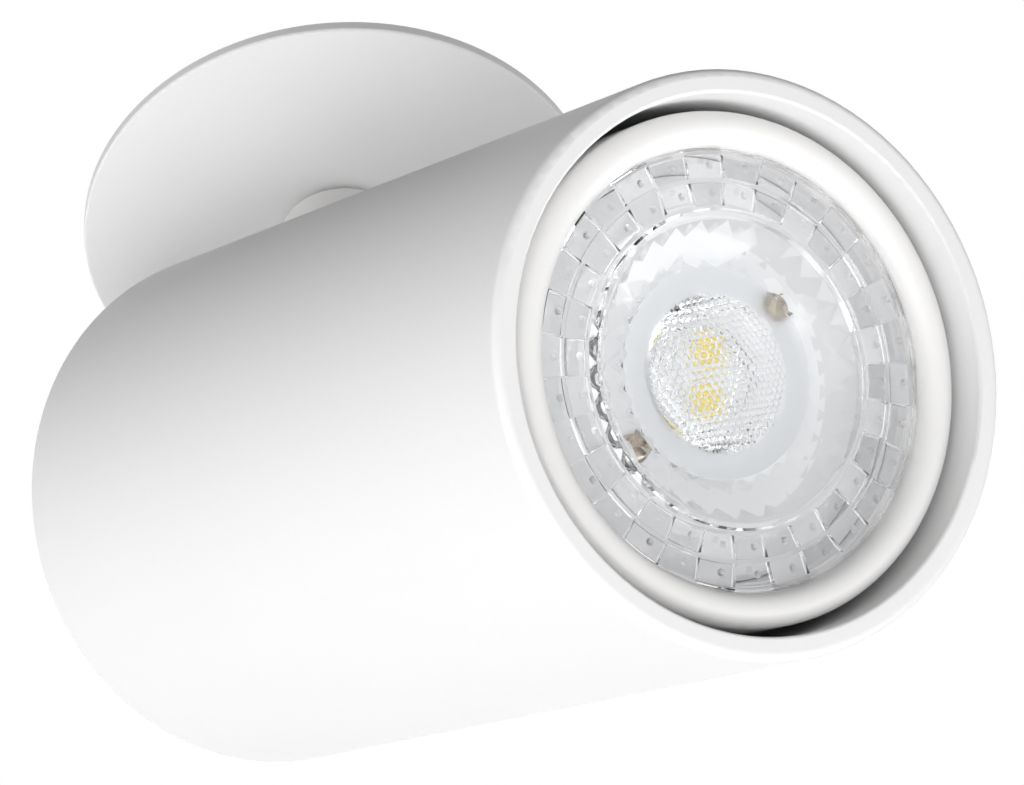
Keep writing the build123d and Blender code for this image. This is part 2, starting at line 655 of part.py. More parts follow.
def holder_bracket():
    """Steel bracket across the tube: the lampholder in front, the pivot ears behind."""
    end = BOSS_FRONT_DEPTH
    bracket = rod(BORE_RADIUS - BRACKET_CLEARANCE, BRACKET_DEPTH, end)
    for ear in mirrored_pair(bracket_ear()):
        bracket += ear
    bracket -= rod(BRACKET_LEAD_HOLE_RADIUS, BRACKET_DEPTH, end)
    for side in (-1, 1):
        bracket -= rod(M3_HOLE_RADIUS, BRACKET_DEPTH, end, (0, side * BOSS_PITCH_RADIUS))
        bracket -= rod(M3_HOLE_RADIUS, BRACKET_DEPTH, end, (side * HOLDER_SCREW_PITCH / 2, 0))
    spacing = 360 / BRACKET_VENT_COUNT
    for index in range(BRACKET_VENT_COUNT):
        start = (index + 0.5) * spacing - BRACKET_VENT_ANGLE / 2
        arc = CenterArc((0, 0), BRACKET_VENT_RADIUS, start, BRACKET_VENT_ANGLE)
        vent = extrude(SlotArc(arc, BRACKET_VENT_WIDTH), BRACKET_THICKNESS)
        bracket -= Pos(0, 0, BRACKET_DEPTH) * vent
    return bracket


def pan_screw(length, at):
    """Pan-head screw through the bracket, its head in front."""
    seat = BRACKET_DEPTH
    top = seat - M3_HEAD_HEIGHT
    head = rod(M3_HEAD_RADIUS, top, seat)
    head = fillet(head.edges().group_by(Axis.Z)[0], M3_HEAD_ROUND)
    screw = head + rod(M3_RADIUS, seat, seat + length)
    screw -= Pos(0, 0, top) * extrude(RegularPolygon(M3_SOCKET_RADIUS, 6), M3_SOCKET_DEPTH)
    return Pos(at[0], at[1], 0) * screw


def bracket_screws():
    return mirrored_pair(pan_screw(BRACKET_SCREW_LENGTH, (0, BOSS_PITCH_RADIUS)))


def pivot_screw():
    """Screw on which the head tilts, along Y through both ears and the stem's tongue."""
    head_end = -EAR_OUTER_Y - PIVOT_HEAD_HEIGHT
    end = EAR_OUTER_Y + PIVOT_NUT_HEIGHT + PIVOT_END_LENGTH
    screw = cross_rod(PIVOT_HEAD_RADIUS, head_end, -EAR_OUTER_Y)
    screw = fillet(screw.edges().group_by(Axis.Y)[0], PIVOT_HEAD_ROUND)
    screw += cross_rod(PIVOT_SCREW_RADIUS, -EAR_OUTER_Y, end)
    socket = extrude(RegularPolygon(PIVOT_SOCKET_RADIUS, 6), PIVOT_SOCKET_DEPTH)
    screw -= Pos(0, head_end, 0) * Rot(-90, 0, 0) * socket
    return Pos(0, 0, PIVOT_DEPTH) * screw


def pivot_nut():
    """Self-locking nut of the pivot screw."""
    collar_start = PIVOT_NUT_HEIGHT - PIVOT_NUT_COLLAR_HEIGHT
    body = hexagon(PIVOT_NUT_FLATS, 0, collar_start)
    body += rod(PIVOT_NUT_COLLAR_RADIUS, collar_start, PIVOT_NUT_HEIGHT)
    body -= rod(PIVOT_SCREW_RADIUS + THREAD_CLEARANCE, 0, PIVOT_NUT_HEIGHT)
    return Pos(0, EAR_OUTER_Y, PIVOT_DEPTH) * Rot(-90, 0, 0) * body


def friction_washers():
    inner = TONGUE_THICKNESS / 2
    hole = PIVOT_SCREW_RADIUS + M3_HOLE_CLEARANCE
    washer = cross_rod(FRICTION_WASHER_RADIUS, inner, EAR_INNER_Y, 0, PIVOT_DEPTH)
    washer -= cross_rod(hole, inner, EAR_INNER_Y, 0, PIVOT_DEPTH)
    return mirrored_pair(washer)


# Lampholder, with the curved keyhole slots that the lamp's pins turn in


def holder_outline(start, end):
    outline = SlotOverall(HOLDER_LENGTH, HOLDER_WIDTH)
    return Pos(0, 0, start) * extrude(outline, end - start)


def pin_track(half_width, start, end):
    """Curved slots that follow both pins through the lamp's twist."""
    arc_start = LOCK_ANGLE - LAMP_TWIST
    tracks = []
    for turn in (0, 180):
        arc = CenterArc((0, 0), PIN_PITCH / 2, arc_start + turn, LAMP_TWIST)
        tracks.append(Pos(0, 0, start) * extrude(SlotArc(arc, 2 * half_width), end - start))
    return tracks


def pin_places(angle):
    """Centres of the two pins at an angle about the head's axis."""
    x = PIN_PITCH / 2 * math.cos(math.radians(angle))
    y = PIN_PITCH / 2 * math.sin(math.radians(angle))
    return [(x, y), (-x, -y)]


def lampholder_body():
    """Ceramic front half: keyhole slots in its face and a chamber behind each."""
    face_end = HOLDER_DEPTH + HOLDER_FACE
    body = holder_outline(HOLDER_DEPTH, COVER_DEPTH)
    body = fillet(body.edges().group_by(Axis.Z)[0], HOLDER_EDGE_ROUND)
    for track in pin_track(PIN_NECK_RADIUS + PIN_NECK_CLEARANCE, HOLDER_DEPTH, face_end):
        body -= track
    for place in pin_places(LOCK_ANGLE - LAMP_TWIST):
        body -= rod(PIN_HEAD_RADIUS + PIN_ENTRY_CLEARANCE, HOLDER_DEPTH, face_end, place)
    for track in pin_track(PIN_HEAD_RADIUS + PIN_CAVITY_CLEARANCE, face_end, COVER_DEPTH):
        body -= track
    for side in (-1, 1):
        place = (side * HOLDER_SCREW_PITCH / 2, 0)
        body -= rod(M3_HOLE_RADIUS, HOLDER_DEPTH, COVER_DEPTH, place)
        body -= rod(M3_HEAD_RADIUS + HOLDER_HEAD_CLEARANCE, HOLDER_DEPTH, face_end, place)
    return body


def lampholder_cover():
    """Ceramic rear half, with lead holes behind the contacts."""
    cover = holder_outline(COVER_DEPTH, BRACKET_DEPTH)
    for side in (-1, 1):
        cover -= rod(M3_HOLE_RADIUS, COVER_DEPTH, BRACKET_DEPTH, (side * HOLDER_SCREW_PITCH / 2, 0))
    for place in pin_places(LOCK_ANGLE - LAMP_TWIST / 2):
        cover -= rod(LEAD_HOLE_RADIUS / 2, COVER_DEPTH, BRACKET_DEPTH, place)
    return cover


def holder_contacts():
    """Spring strips behind the pins: a foot on the cover and a tongue that meets each pin's end."""
    pin_end = LAMP_BASE_DEPTH + PIN_LENGTH
    foot = COVER_DEPTH - CONTACT_THICKNESS
    half = CONTACT_WIDTH / 2
    strips = []
    for side in (-1, 1):
        near, far = sorted((side * (PIN_PITCH / 2 - half), side * (PIN_PITCH / 2 + half)))
        strip = block(-half, half, near, far, pin_end, pin_end + CONTACT_THICKNESS)
        strip += block(half - CONTACT_THICKNESS, half, near, far, pin_end, COVER_DEPTH)
        strips.append(strip + block(-half, half, near, far, foot, COVER_DEPTH))
    return strips


def holder_screws():
    """Pan-head screws that hold both ceramic halves to the bracket."""
    head_seat = HOLDER_DEPTH + HOLDER_FACE
    screws = []
    for side in (-1, 1):
        place = (side * HOLDER_SCREW_PITCH / 2, 0)
        head = rod(M3_HEAD_RADIUS, head_seat - M3_HEAD_HEIGHT, head_seat, place)
        screw = head + rod(M3_RADIUS, head_seat, BOSS_FRONT_DEPTH + HOLDER_SCREW_END, place)
        socket = Pos(place[0], place[1], head_seat - M3_HEAD_HEIGHT)
        screws.append(screw - socket * extrude(RegularPolygon(M3_SOCKET_RADIUS, 6), M3_SOCKET_DEPTH))
    return screws


# Reflector lamp, drawn in the head's frame


def lamp_housing():
    """Lamp shell: round front bead, cylindrical rim, and a curved body down to the neck."""
    crest_radius = LAMP_RADIUS - RIM_BEAD
    ledge_depth = BOARD_DEPTH + BOARD_THICKNESS
    ledge_radius = BOARD_RADIUS - BOARD_LEDGE
    shoulder = (LAMP_RADIUS - SHELL_SHOULDER_DROP, RIM_END_DEPTH + SHELL_SHOULDER_LENGTH)
    throat_depth = NECK_DEPTH - BASE_SPIGOT_LENGTH - BASE_SPIGOT_GAP
    bead_out = RadiusArc((LAMP_RADIUS, LENS_DEPTH), (crest_radius, LAMP_FRONT_DEPTH), RIM_BEAD)
    bead_in = RadiusArc((crest_radius, LAMP_FRONT_DEPTH), (LENS_SEAT_RADIUS, LENS_DEPTH), RIM_BEAD)
    rim = Line((LAMP_RADIUS, RIM_END_DEPTH), (LAMP_RADIUS, LENS_DEPTH))
    flank = Spline(
        (NECK_RADIUS, NECK_DEPTH), shoulder, (LAMP_RADIUS, RIM_END_DEPTH),
        tangents=((SHELL_NECK_SLOPE, -1), (SHELL_SHOULDER_SLOPE, -1)),
    )
    neck_end = Line((NECK_BORE_RADIUS, NECK_DEPTH), (NECK_RADIUS, NECK_DEPTH))
    inside = Spline(
        (ledge_radius, ledge_depth), (NECK_BORE_RADIUS, throat_depth),
        tangents=((-SHELL_NECK_SLOPE, 1), (-SHELL_THROAT_SLOPE, 1)),
    )
    throat = Line((NECK_BORE_RADIUS, throat_depth), (NECK_BORE_RADIUS, NECK_DEPTH))
    steps = Polyline(
        (LENS_SEAT_RADIUS, LENS_DEPTH),
        (LENS_SEAT_RADIUS, LENS_BACK_DEPTH),
        (SHELL_BORE_RADIUS, LENS_BACK_DEPTH),
        (SHELL_BORE_RADIUS, ledge_depth),
        (ledge_radius, ledge_depth),
    )
    profile = make_face([bead_in, bead_out, rim, flank, neck_end, throat, inside, steps])
    return revolve(Plane.XZ * profile, Axis.Z, 360)


def facet_pocket(inner, outer):
    """One prism facet's pocket in the back of the lens, deeper towards the middle."""
    half = math.pi / FACET_COUNT
    gap = FACET_GAP / 2
    back = LENS_BACK_DEPTH
    deep = back - FACET_DEPTH
    shallow = back - FACET_SHALLOW_DEPTH
    low = inner * math.tan(half) - gap
    high = outer * math.tan(half) - gap
    floor = [(inner, -low, deep), (outer, -high, shallow), (outer, high, shallow), (inner, low, deep)]
    mouth = [(x, y, back) for x, y, _ in floor]
    return loft([make_face(Polyline(*points, close=True)) for points in (floor, mouth)], ruled=True)


def bowl_flute():
    """One shallow scallop in the front of the lens's bowl, cut by a slanted round bar."""
    slope = math.atan2(BOWL_DROP, BOWL_OUTER_RADIUS - BOWL_INNER_RADIUS)
    middle = (BOWL_OUTER_RADIUS + BOWL_INNER_RADIUS) / 2
    half_width = middle * math.sin(math.pi / FACET_COUNT)
    radius = (half_width ** 2 + BOWL_FLUTE_DEPTH ** 2) / (2 * BOWL_FLUTE_DEPTH)
    length = (BOWL_OUTER_RADIUS - BOWL_INNER_RADIUS) / math.cos(slope) - 2 * BOWL_FLUTE_DEPTH
    rise = radius - BOWL_FLUTE_DEPTH
    centre = (middle - rise * math.sin(slope), 0, LENS_DEPTH + BOWL_DROP / 2 - rise * math.cos(slope))
    return Pos(*centre) * Rot(0, 90 + math.degrees(slope), 0) * Cylinder(radius, length)


def lamp_lens():
    """Clear lens in one moulding: two rings of prism facets, a fluted bowl and a domed core."""
    bowl_depth = LENS_DEPTH + BOWL_DROP
    core_end = BOARD_DEPTH - CORE_FOOT_GAP
    core_back = bowl_depth + BOWL_WALL
    lens = turned([
        (0, bowl_depth),
        (BOWL_INNER_RADIUS, bowl_depth),
        (BOWL_OUTER_RADIUS, LENS_DEPTH),
        (LENS_RADIUS, LENS_DEPTH),
        (LENS_RADIUS, LENS_BACK_DEPTH),
        (BOWL_OUTER_RADIUS, LENS_BACK_DEPTH),
        (BOWL_INNER_RADIUS, core_back),
        (DOME_RADIUS, core_back),
        (CORE_FOOT_RADIUS, core_end),
        (LED_POCKET_RADIUS, core_end),
        (LED_POCKET_RADIUS, core_end - LED_POCKET_DEPTH),
        (0, core_end - LED_POCKET_DEPTH),
    ])
    sphere_radius = (DOME_RADIUS ** 2 + DOME_HEIGHT ** 2) / (2 * DOME_HEIGHT)
    dome = Pos(0, 0, bowl_depth - DOME_HEIGHT + sphere_radius) * Sphere(sphere_radius)
    lens += dome & rod(DOME_RADIUS, bowl_depth - DOME_HEIGHT, bowl_depth)
    turns = [Rot(0, 0, 360 / FACET_COUNT * index) for index in range(FACET_COUNT)]
    for outer in (OUTER_FACET_RADIUS, INNER_FACET_RADIUS):
        pocket = facet_pocket(outer - FACET_LENGTH, outer)
        lens -= [turn * pocket for turn in turns]
    flute = bowl_flute()
    return lens - [turn * flute for turn in turns]


def led_board():
    board = rod(BOARD_RADIUS, BOARD_DEPTH, BOARD_DEPTH + BOARD_THICKNESS)
    for place in board_screw_places():
        board -= rod(BOARD_SCREW_SHANK + M3_HOLE_CLEARANCE, BOARD_DEPTH, BOARD_DEPTH + BOARD_THICKNESS, place)
    return board


def board_screw_places():
    angle = math.radians(BOARD_SCREW_ANGLE)
    x = BOARD_SCREW_PITCH_RADIUS * math.cos(angle)
    y = BOARD_SCREW_PITCH_RADIUS * math.sin(angle)
    return [(x, y), (-x, -y)]


def board_screws():
    """Small screws of the chip board."""
    screws = []
    for place in board_screw_places():
        head = rod(BOARD_SCREW_HEAD, BOARD_DEPTH - BOARD_SCREW_HEAD_HEIGHT, BOARD_DEPTH, place)
        head = fillet(head.edges().group_by(Axis.Z)[0], BOARD_SCREW_ROUND)
        tip = BOARD_DEPTH + BOARD_THICKNESS + BOARD_SCREW_END
        screws.append(head + rod(BOARD_SCREW_SHANK, BOARD_DEPTH, tip, place))
    return screws


def led_chips():
    half = LED_SIZE / 2
    chips = []
    for side in (-1, 1):
        middle = side * LED_PITCH / 2
        chip = block(middle - half, middle + half, -half, half, BOARD_DEPTH - LED_HEIGHT, BOARD_DEPTH)
        chips.append(Rot(0, 0, LED_ANGLE) * chip)
    return chips


def lamp_base():
    """Moulded base that plugs into the neck and carries the two pins."""
    spigot = NECK_BORE_RADIUS - PRESS_CLEARANCE
    end = LAMP_BASE_DEPTH
    base = turned([
        (spigot - BASE_WALL, NECK_DEPTH - BASE_SPIGOT_LENGTH),
        (spigot, NECK_DEPTH - BASE_SPIGOT_LENGTH),
        (spigot, NECK_DEPTH),
        (NECK_RADIUS, NECK_DEPTH),
        (BASE_RADIUS, NECK_DEPTH + BASE_STEP_LENGTH),
        (BASE_RADIUS, end - BASE_CHAMFER),
        (BASE_RADIUS - BASE_CHAMFER, end),
        (0, end),
        (0, end - BASE_FLOOR),
        (spigot - BASE_WALL, end - BASE_FLOOR),
    ])
    for place in pin_places(LOCK_ANGLE):
        base -= rod(PIN_NECK_RADIUS, end - BASE_FLOOR, end, place)
    return base


def lamp_pins():
    """Two headed pins of the twist base."""
    end = LAMP_BASE_DEPTH + PIN_LENGTH
    head_start = end - PIN_HEAD_LENGTH
    pins = []
    for place in pin_places(LOCK_ANGLE):
        head = rod(PIN_HEAD_RADIUS, head_start, end, place)
        head = fillet(head.edges().group_by(Axis.Z)[-1], PIN_ROUND)
        tail_start = LAMP_BASE_DEPTH - BASE_FLOOR - PIN_TAIL_LENGTH
        pins.append(head + rod(PIN_NECK_RADIUS, tail_start, head_start, place))
    return pins


def driver_board():
    """Circuit board of the lamp's driver, standing on the base's floor."""
    half = DRIVER_WIDTH / 2
    floor = LAMP_BASE_DEPTH - BASE_FLOOR
    return block(-half, half, -DRIVER_THICKNESS / 2, DRIVER_THICKNESS / 2, floor - DRIVER_LENGTH, floor)


def driver_components():
    """Capacitor, choke and rectifier on the driver board."""
    floor = LAMP_BASE_DEPTH - BASE_FLOOR
    face = DRIVER_THICKNESS / 2
    can_place = (CAPACITOR_OFFSET, face + CAPACITOR_RADIUS)
    can_end = floor - CAPACITOR_RISE
    can = rod(CAPACITOR_RADIUS, can_end - CAPACITOR_LENGTH, can_end, can_place)
    choke_start = CHOKE_OFFSET - CHOKE_WIDTH / 2
    choke_end = floor - CHOKE_RISE
    choke = block(
        choke_start, choke_start + CHOKE_WIDTH, face, face + CHOKE_HEIGHT, choke_end - CHOKE_LENGTH, choke_end
    )
    half = RECTIFIER_WIDTH / 2
    end = floor - RECTIFIER_RISE
    rectifier = block(-half, half, -face - RECTIFIER_HEIGHT, -face, end - RECTIFIER_LENGTH, end)
    return [can, choke, rectifier]


write(ceiling_plate(), "ceiling_plate")
write(recess_housing(), "recess_housing")
write(clip_bracket(), "clip_bracket")
write(clip_pins(), "clip_pins")
for side, name in ((1, "left"), (-1, "right")):
    arm = clip_arm()
    spring = clip_spring()
    if side < 0:
        arm = mirror(arm, Plane.XZ)
        spring = mirror(spring, Plane.XZ)
    write(arm, f"clip_arm_{name}")
    write(spring, f"clip_spring_{name}")
write(stem_washer(), "stem_washer")
write(disc_spring(), "disc_spring")
write(stop_pin(), "stop_pin")
write(swivel_stem(), "swivel_stem")
write(stop_washer(), "stop_washer")
write(earth_tag(), "earth_tag")
write(lock_nut(), "lock_nut")
write(stem_grommet(), "stem_grommet")

write_head(head_tube(), "head_tube")
write_head(rear_cap(), "rear_cap")
write_head(cap_screws(), "cap_screws")
write_head(holder_bracket(), "holder_bracket")
write_head(bracket_screws(), "bracket_screws")
write_head(pivot_screw(), "pivot_screw")
write_head(pivot_nut(), "pivot_nut")
write_head(friction_washers(), "friction_washers")
write_head(lampholder_body(), "lampholder_body")
write_head(lampholder_cover(), "lampholder_cover")
write_head(holder_contacts(), "holder_contacts")
write_head(holder_screws(), "holder_screws")

write_head(lamp_housing(), "lamp_housing")
write_head(lamp_lens(), "lamp_lens")
write_head(led_board(), "led_board")
write_head(led_chips(), "led_chips")
write_head(board_screws(), "board_screws")
write_head(driver_board(), "driver_board")
write_head(driver_components(), "driver_components")
write_head(lamp_base(), "lamp_base")
write_head(lamp_pins(), "lamp_pins")
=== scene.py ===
import json
import math

import bmesh
import bpy
from mathutils import Matrix, Vector

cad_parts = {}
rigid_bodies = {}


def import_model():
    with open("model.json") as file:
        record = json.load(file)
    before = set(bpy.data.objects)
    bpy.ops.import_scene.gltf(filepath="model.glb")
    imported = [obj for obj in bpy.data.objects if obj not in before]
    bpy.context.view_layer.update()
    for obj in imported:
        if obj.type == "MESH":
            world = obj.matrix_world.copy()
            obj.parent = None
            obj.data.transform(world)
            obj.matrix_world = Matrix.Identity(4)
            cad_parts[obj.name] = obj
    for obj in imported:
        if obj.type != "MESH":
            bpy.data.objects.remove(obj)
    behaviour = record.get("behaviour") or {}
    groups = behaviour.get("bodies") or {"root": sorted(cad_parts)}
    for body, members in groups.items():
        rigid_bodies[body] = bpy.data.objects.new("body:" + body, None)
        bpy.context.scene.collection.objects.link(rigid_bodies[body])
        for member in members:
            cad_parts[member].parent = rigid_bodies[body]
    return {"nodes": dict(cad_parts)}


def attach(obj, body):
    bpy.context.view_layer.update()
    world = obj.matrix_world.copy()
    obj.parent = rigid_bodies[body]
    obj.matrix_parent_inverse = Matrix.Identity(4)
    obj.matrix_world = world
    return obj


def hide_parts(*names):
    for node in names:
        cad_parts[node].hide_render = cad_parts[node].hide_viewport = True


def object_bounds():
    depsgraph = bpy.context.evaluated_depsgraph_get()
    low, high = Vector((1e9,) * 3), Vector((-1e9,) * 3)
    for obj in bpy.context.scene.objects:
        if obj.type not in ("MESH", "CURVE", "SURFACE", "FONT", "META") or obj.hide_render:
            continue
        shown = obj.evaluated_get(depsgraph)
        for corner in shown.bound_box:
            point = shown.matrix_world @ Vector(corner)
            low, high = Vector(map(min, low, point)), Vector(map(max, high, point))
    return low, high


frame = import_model()
cad_low, cad_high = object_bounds()

# Camera, as fitted to the photograph's outlines, in the row frame.
CAMERA_PLACE = (0.308562, -0.227454, -0.445689)
CAMERA_RIGHT = (0.55705, 0.82666, -0.07962)
CAMERA_UP = (0.64105, -0.36706, 0.67404)
CAMERA_BACK = (0.52797, -0.42651, -0.7344)
CAMERA_LENS = 182.466
SENSOR_WIDTH = 36.0
VIEW_NEAR = 0.01
VIEW_FAR = 50.0

# Head of the lamp: tilt from straight down, and the pivot and front rim places.
REST_TILT = math.radians(56.0)
PIVOT_HEIGHT = -0.0418
PIVOT_DEPTH = 0.077
HEAD_AXIS = Vector((math.sin(REST_TILT), 0, -math.cos(REST_TILT)))
HEAD_UP = Vector((math.cos(REST_TILT), 0, math.sin(REST_TILT)))
HEAD_FRONT = Vector((0, 0, PIVOT_HEIGHT)) + HEAD_AXIS * PIVOT_DEPTH

# Painted shade that changes with the place on the lamp, by radius from its axis and depth behind the front
# rim.
BOARD_SHADE_RADIUS = 0.0145
BOARD_SHADE_BLUR = 0.00004
# Painted shade: grey for the board's margin, standing in for the shade deep in the lamp's cup.
BOARD_PAINTED_SHADE = (0.74, 0.74, 0.74, 1)
SHELL_SHADE_ZONE = (0.0211, 0.0054)
# Painted shade: grey for the shell's inside behind the lens, where shade falls in the lamp's cup.
SHELL_PAINTED_SHADE = (0.76, 0.76, 0.76, 1)
SHELL_BLUR = 0.00005

# Patterns of the two shared finishes: noise scales per metre, and heights of their bumps.
COAT_CLOUDS = 60.0
COAT_BUMPS = 0.00005
METAL_STREAKS = 900.0
METAL_CLOUDS = 140.0
METAL_BUMPS = 0.00003

# Room: floor, lamps and sky, and how bright the floor looks to the camera and in gloss and glass.
FLOOR_HEIGHT = -1.7
FLOOR_SIZE = 60.0
FLOOR_TONE = (0.85, 0.85, 0.85, 1)
FLOOR_ROUGHNESS = 0.9
LAMP_DISTANCE = 1.1
LAMP_SIZE = 1.1
SKY_LIGHT = 0.18
FLOOR_SEEN = 0.5
FLOOR_REFLECTED = 0.8
WHITE = (1, 1, 1, 1)


def place_matrix(axes, origin):
    """Matrix with three axes as its columns, and an origin."""
    place = Matrix(axes).transposed().to_4x4()
    place.translation = origin
    return place


def head_place():
    """From the head's own frame, x up its back edge and z backwards from its front rim, to the row frame."""
    return place_matrix((HEAD_UP, Vector((0, 1, 0)), -HEAD_AXIS), HEAD_FRONT)


# Shared shader groups


def new_group(name, inputs, outputs):
    """Empty node group with its sockets, and its two end nodes."""
    group = bpy.data.node_groups.new(name, "ShaderNodeTree")
    for label, kind, value in inputs:
        socket = group.interface.new_socket(label, in_out="INPUT", socket_type=kind)
        socket.default_value = value
    for label, kind in outputs:
        group.interface.new_socket(label, in_out="OUTPUT", socket_type=kind)
    return group, group.nodes.new("NodeGroupInput"), group.nodes.new("NodeGroupOutput")


def add_node(tree, kind, **settings):
    """New node with its own settings, such as its operation."""
    node = tree.nodes.new(kind)
    for label, value in settings.items():
        setattr(node, label, value)
    return node


def noise(tree, place, detail):
    """Noise pattern over a position."""
    node = add_node(tree, "ShaderNodeTexNoise")
    node.inputs["Detail"].default_value = detail
    tree.links.new(place, node.inputs["Vector"])
    return node


def average(tree, first, second):
    """Mean of two values."""
    half = add_node(tree, "ShaderNodeMath", operation="MULTIPLY")
    half.inputs[1].default_value = 0.5
    tree.links.new(first, half.inputs[0])
    total = add_node(tree, "ShaderNodeMath", operation="MULTIPLY_ADD")
    total.inputs[1].default_value = 0.5
    tree.links.new(second, total.inputs[0])
    tree.links.new(half.outputs[0], total.inputs[2])
    return total.outputs[0]


def finish_outputs(tree, start, end, tone_mask, gloss_mask, relief, bump_height):
    """Tone, gloss and bumps of a shared finish, each from its own pattern."""
    tone = add_node(tree, "ShaderNodeMix", data_type="RGBA")
    tree.links.new(tone_mask, tone.inputs["Factor"])
    tree.links.new(start.outputs["Shade"], tone.inputs["A"])
    tree.links.new(start.outputs["Tone"], tone.inputs["B"])
    tree.links.new(tone.outputs["Result"], end.inputs["Color"])
    gloss = add_node(tree, "ShaderNodeMapRange")
    tree.links.new(gloss_mask, gloss.inputs["Value"])
    tree.links.new(start.outputs["Gloss Low"], gloss.inputs["To Min"])
    tree.links.new(start.outputs["Gloss High"], gloss.inputs["To Max"])
    tree.links.new(gloss.outputs["Result"], end.inputs["Roughness"])
    bump = add_node(tree, "ShaderNodeBump")
    bump.inputs["Distance"].default_value = bump_height
    tree.links.new(start.outputs["Bump"], bump.inputs["Strength"])
    tree.links.new(relief, bump.inputs["Height"])
    tree.links.new(bump.outputs["Normal"], end.inputs["Normal"])


FINISH_OUTPUTS = [
    ("Color", "NodeSocketColor"), ("Roughness", "NodeSocketFloat"), ("Normal", "NodeSocketVector"),
]


def powder_coat_group():
    """Fine orange-peel coat: faint tone change, uneven gloss and small bumps."""
    group, start, end = new_group(
        "powder_coat",
        [
            ("Tone", "NodeSocketColor", (0.8, 0.8, 0.8, 1)),
            ("Shade", "NodeSocketColor", (0.7, 0.7, 0.7, 1)),
            ("Grain", "NodeSocketFloat", 2200.0),
            ("Gloss Low", "NodeSocketFloat", 0.4),
            ("Gloss High", "NodeSocketFloat", 0.55),
            ("Bump", "NodeSocketFloat", 0.1),
        ],
        FINISH_OUTPUTS,
    )
    place = add_node(group, "ShaderNodeTexCoord").outputs["Object"]
    grain = noise(group, place, 2.0)
    group.links.new(start.outputs["Grain"], grain.inputs["Scale"])
    cloud = noise(group, place, 4.0)
    cloud.inputs["Scale"].default_value = COAT_CLOUDS
    mixed = average(group, grain.outputs["Fac"], cloud.outputs["Fac"])
    finish_outputs(group, start, end, mixed, cloud.outputs["Fac"], grain.outputs["Fac"], COAT_BUMPS)
    return group


def metal_grain_group():
    """Rolled or drawn metal: long fine streaks along one direction, with clouded gloss."""
    group, start, end = new_group(
        "metal_grain",
        [
            ("Tone", "NodeSocketColor", (0.7, 0.7, 0.7, 1)),
            ("Shade", "NodeSocketColor", (0.5, 0.5, 0.5, 1)),
            ("Stretch", "NodeSocketVector", (1, 1, 1)),
            ("Gloss Low", "NodeSocketFloat", 0.25),
            ("Gloss High", "NodeSocketFloat", 0.45),
            ("Bump", "NodeSocketFloat", 0.1),
        ],
        FINISH_OUTPUTS,
    )
    place = add_node(group, "ShaderNodeTexCoord").outputs["Object"]
    stretch = add_node(group, "ShaderNodeVectorMath", operation="MULTIPLY")
    group.links.new(place, stretch.inputs[0])
    group.links.new(start.outputs["Stretch"], stretch.inputs[1])
    streak = noise(group, stretch.outputs[0], 3.0)
    streak.inputs["Scale"].default_value = METAL_STREAKS
    cloud = noise(group, place, 3.0)
    cloud.inputs["Scale"].default_value = METAL_CLOUDS
    mixed = average(group, cloud.outputs["Fac"], streak.outputs["Fac"])
    finish_outputs(group, start, end, mixed, mixed, streak.outputs["Fac"], METAL_BUMPS)
    return group


POWDER_COAT = powder_coat_group()
METAL_GRAIN = metal_grain_group()


# Materials


def new_material(name):
    """Material with an empty Principled surface; gives its tree and that node."""
    material = bpy.data.materials.new(name)
    material.use_nodes = True
    surface = material.node_tree.nodes["Principled BSDF"]
    return material, material.node_tree, surface


def add_group(tree, group, surface, values):
    """Puts a shared group before the surface, with its own values."""
    node = add_node(tree, "ShaderNodeGroup", node_tree=group)
    for label, value in values.items():
        node.inputs[label].default_value = value
    tree.links.new(node.outputs["Color"], surface.inputs["Base Color"])
    tree.links.new(node.outputs["Roughness"], surface.inputs["Roughness"])
    tree.links.new(node.outputs["Normal"], surface.inputs["Normal"])


def grey(value, warm=0.0):
    """Near-neutral colour, a little warm or cool."""
    return (value * (1 + warm), value, value * (1 - warm), 1)


def coated(name, tone, shade, gloss, bump, grain=2200.0, specular=0.15):
    """Painted, moulded or fired finish, between two tones and two roughnesses."""
    material, tree, surface = new_material(name)
    add_group(tree, POWDER_COAT, surface, {
        "Tone": tone, "Shade": shade, "Grain": grain,
        "Gloss Low": gloss[0], "Gloss High": gloss[1], "Bump": bump,
    })
    surface.inputs["Specular IOR Level"].default_value = specular
    return material


def metal(name, tone, shade, stretch, gloss, bump):
    """Bare or plated metal, its streaks long where the stretch is small."""
    material, tree, surface = new_material(name)
    add_group(tree, METAL_GRAIN, surface, {
        "Tone": tone, "Shade": shade, "Stretch": stretch,
        "Gloss Low": gloss[0], "Gloss High": gloss[1], "Bump": bump,
    })
    surface.inputs["Metallic"].default_value = 1.0
    return material


def head_measure(tree):
    """Distance from the head's axis, and depth behind its front rim, of the point being shaded."""
    place = add_node(tree, "ShaderNodeTexCoord")
    from_rim = add_node(tree, "ShaderNodeVectorMath", operation="SUBTRACT")
    from_rim.inputs[1].default_value = HEAD_FRONT
    tree.links.new(place.outputs["Object"], from_rim.inputs[0])
    across = add_node(tree, "ShaderNodeVectorMath", operation="CROSS_PRODUCT")
    across.inputs[1].default_value = HEAD_AXIS
    tree.links.new(from_rim.outputs[0], across.inputs[0])
    radius = add_node(tree, "ShaderNodeVectorMath", operation="LENGTH")
    tree.links.new(across.outputs[0], radius.inputs[0])
    depth = add_node(tree, "ShaderNodeVectorMath", operation="DOT_PRODUCT")
    depth.inputs[1].default_value = -HEAD_AXIS
    tree.links.new(from_rim.outputs[0], depth.inputs[0])
    return radius.outputs["Value"], depth.outputs["Value"]


def rise_past(tree, value, edge, blur):
    """Mask that goes from 0 to 1 as a value passes an edge."""
    ramp = add_node(tree, "ShaderNodeMapRange")
    ramp.inputs["From Min"].default_value = edge - blur
    ramp.inputs["From Max"].default_value = edge + blur
    tree.links.new(value, ramp.inputs["Value"])
    return ramp.outputs["Result"]


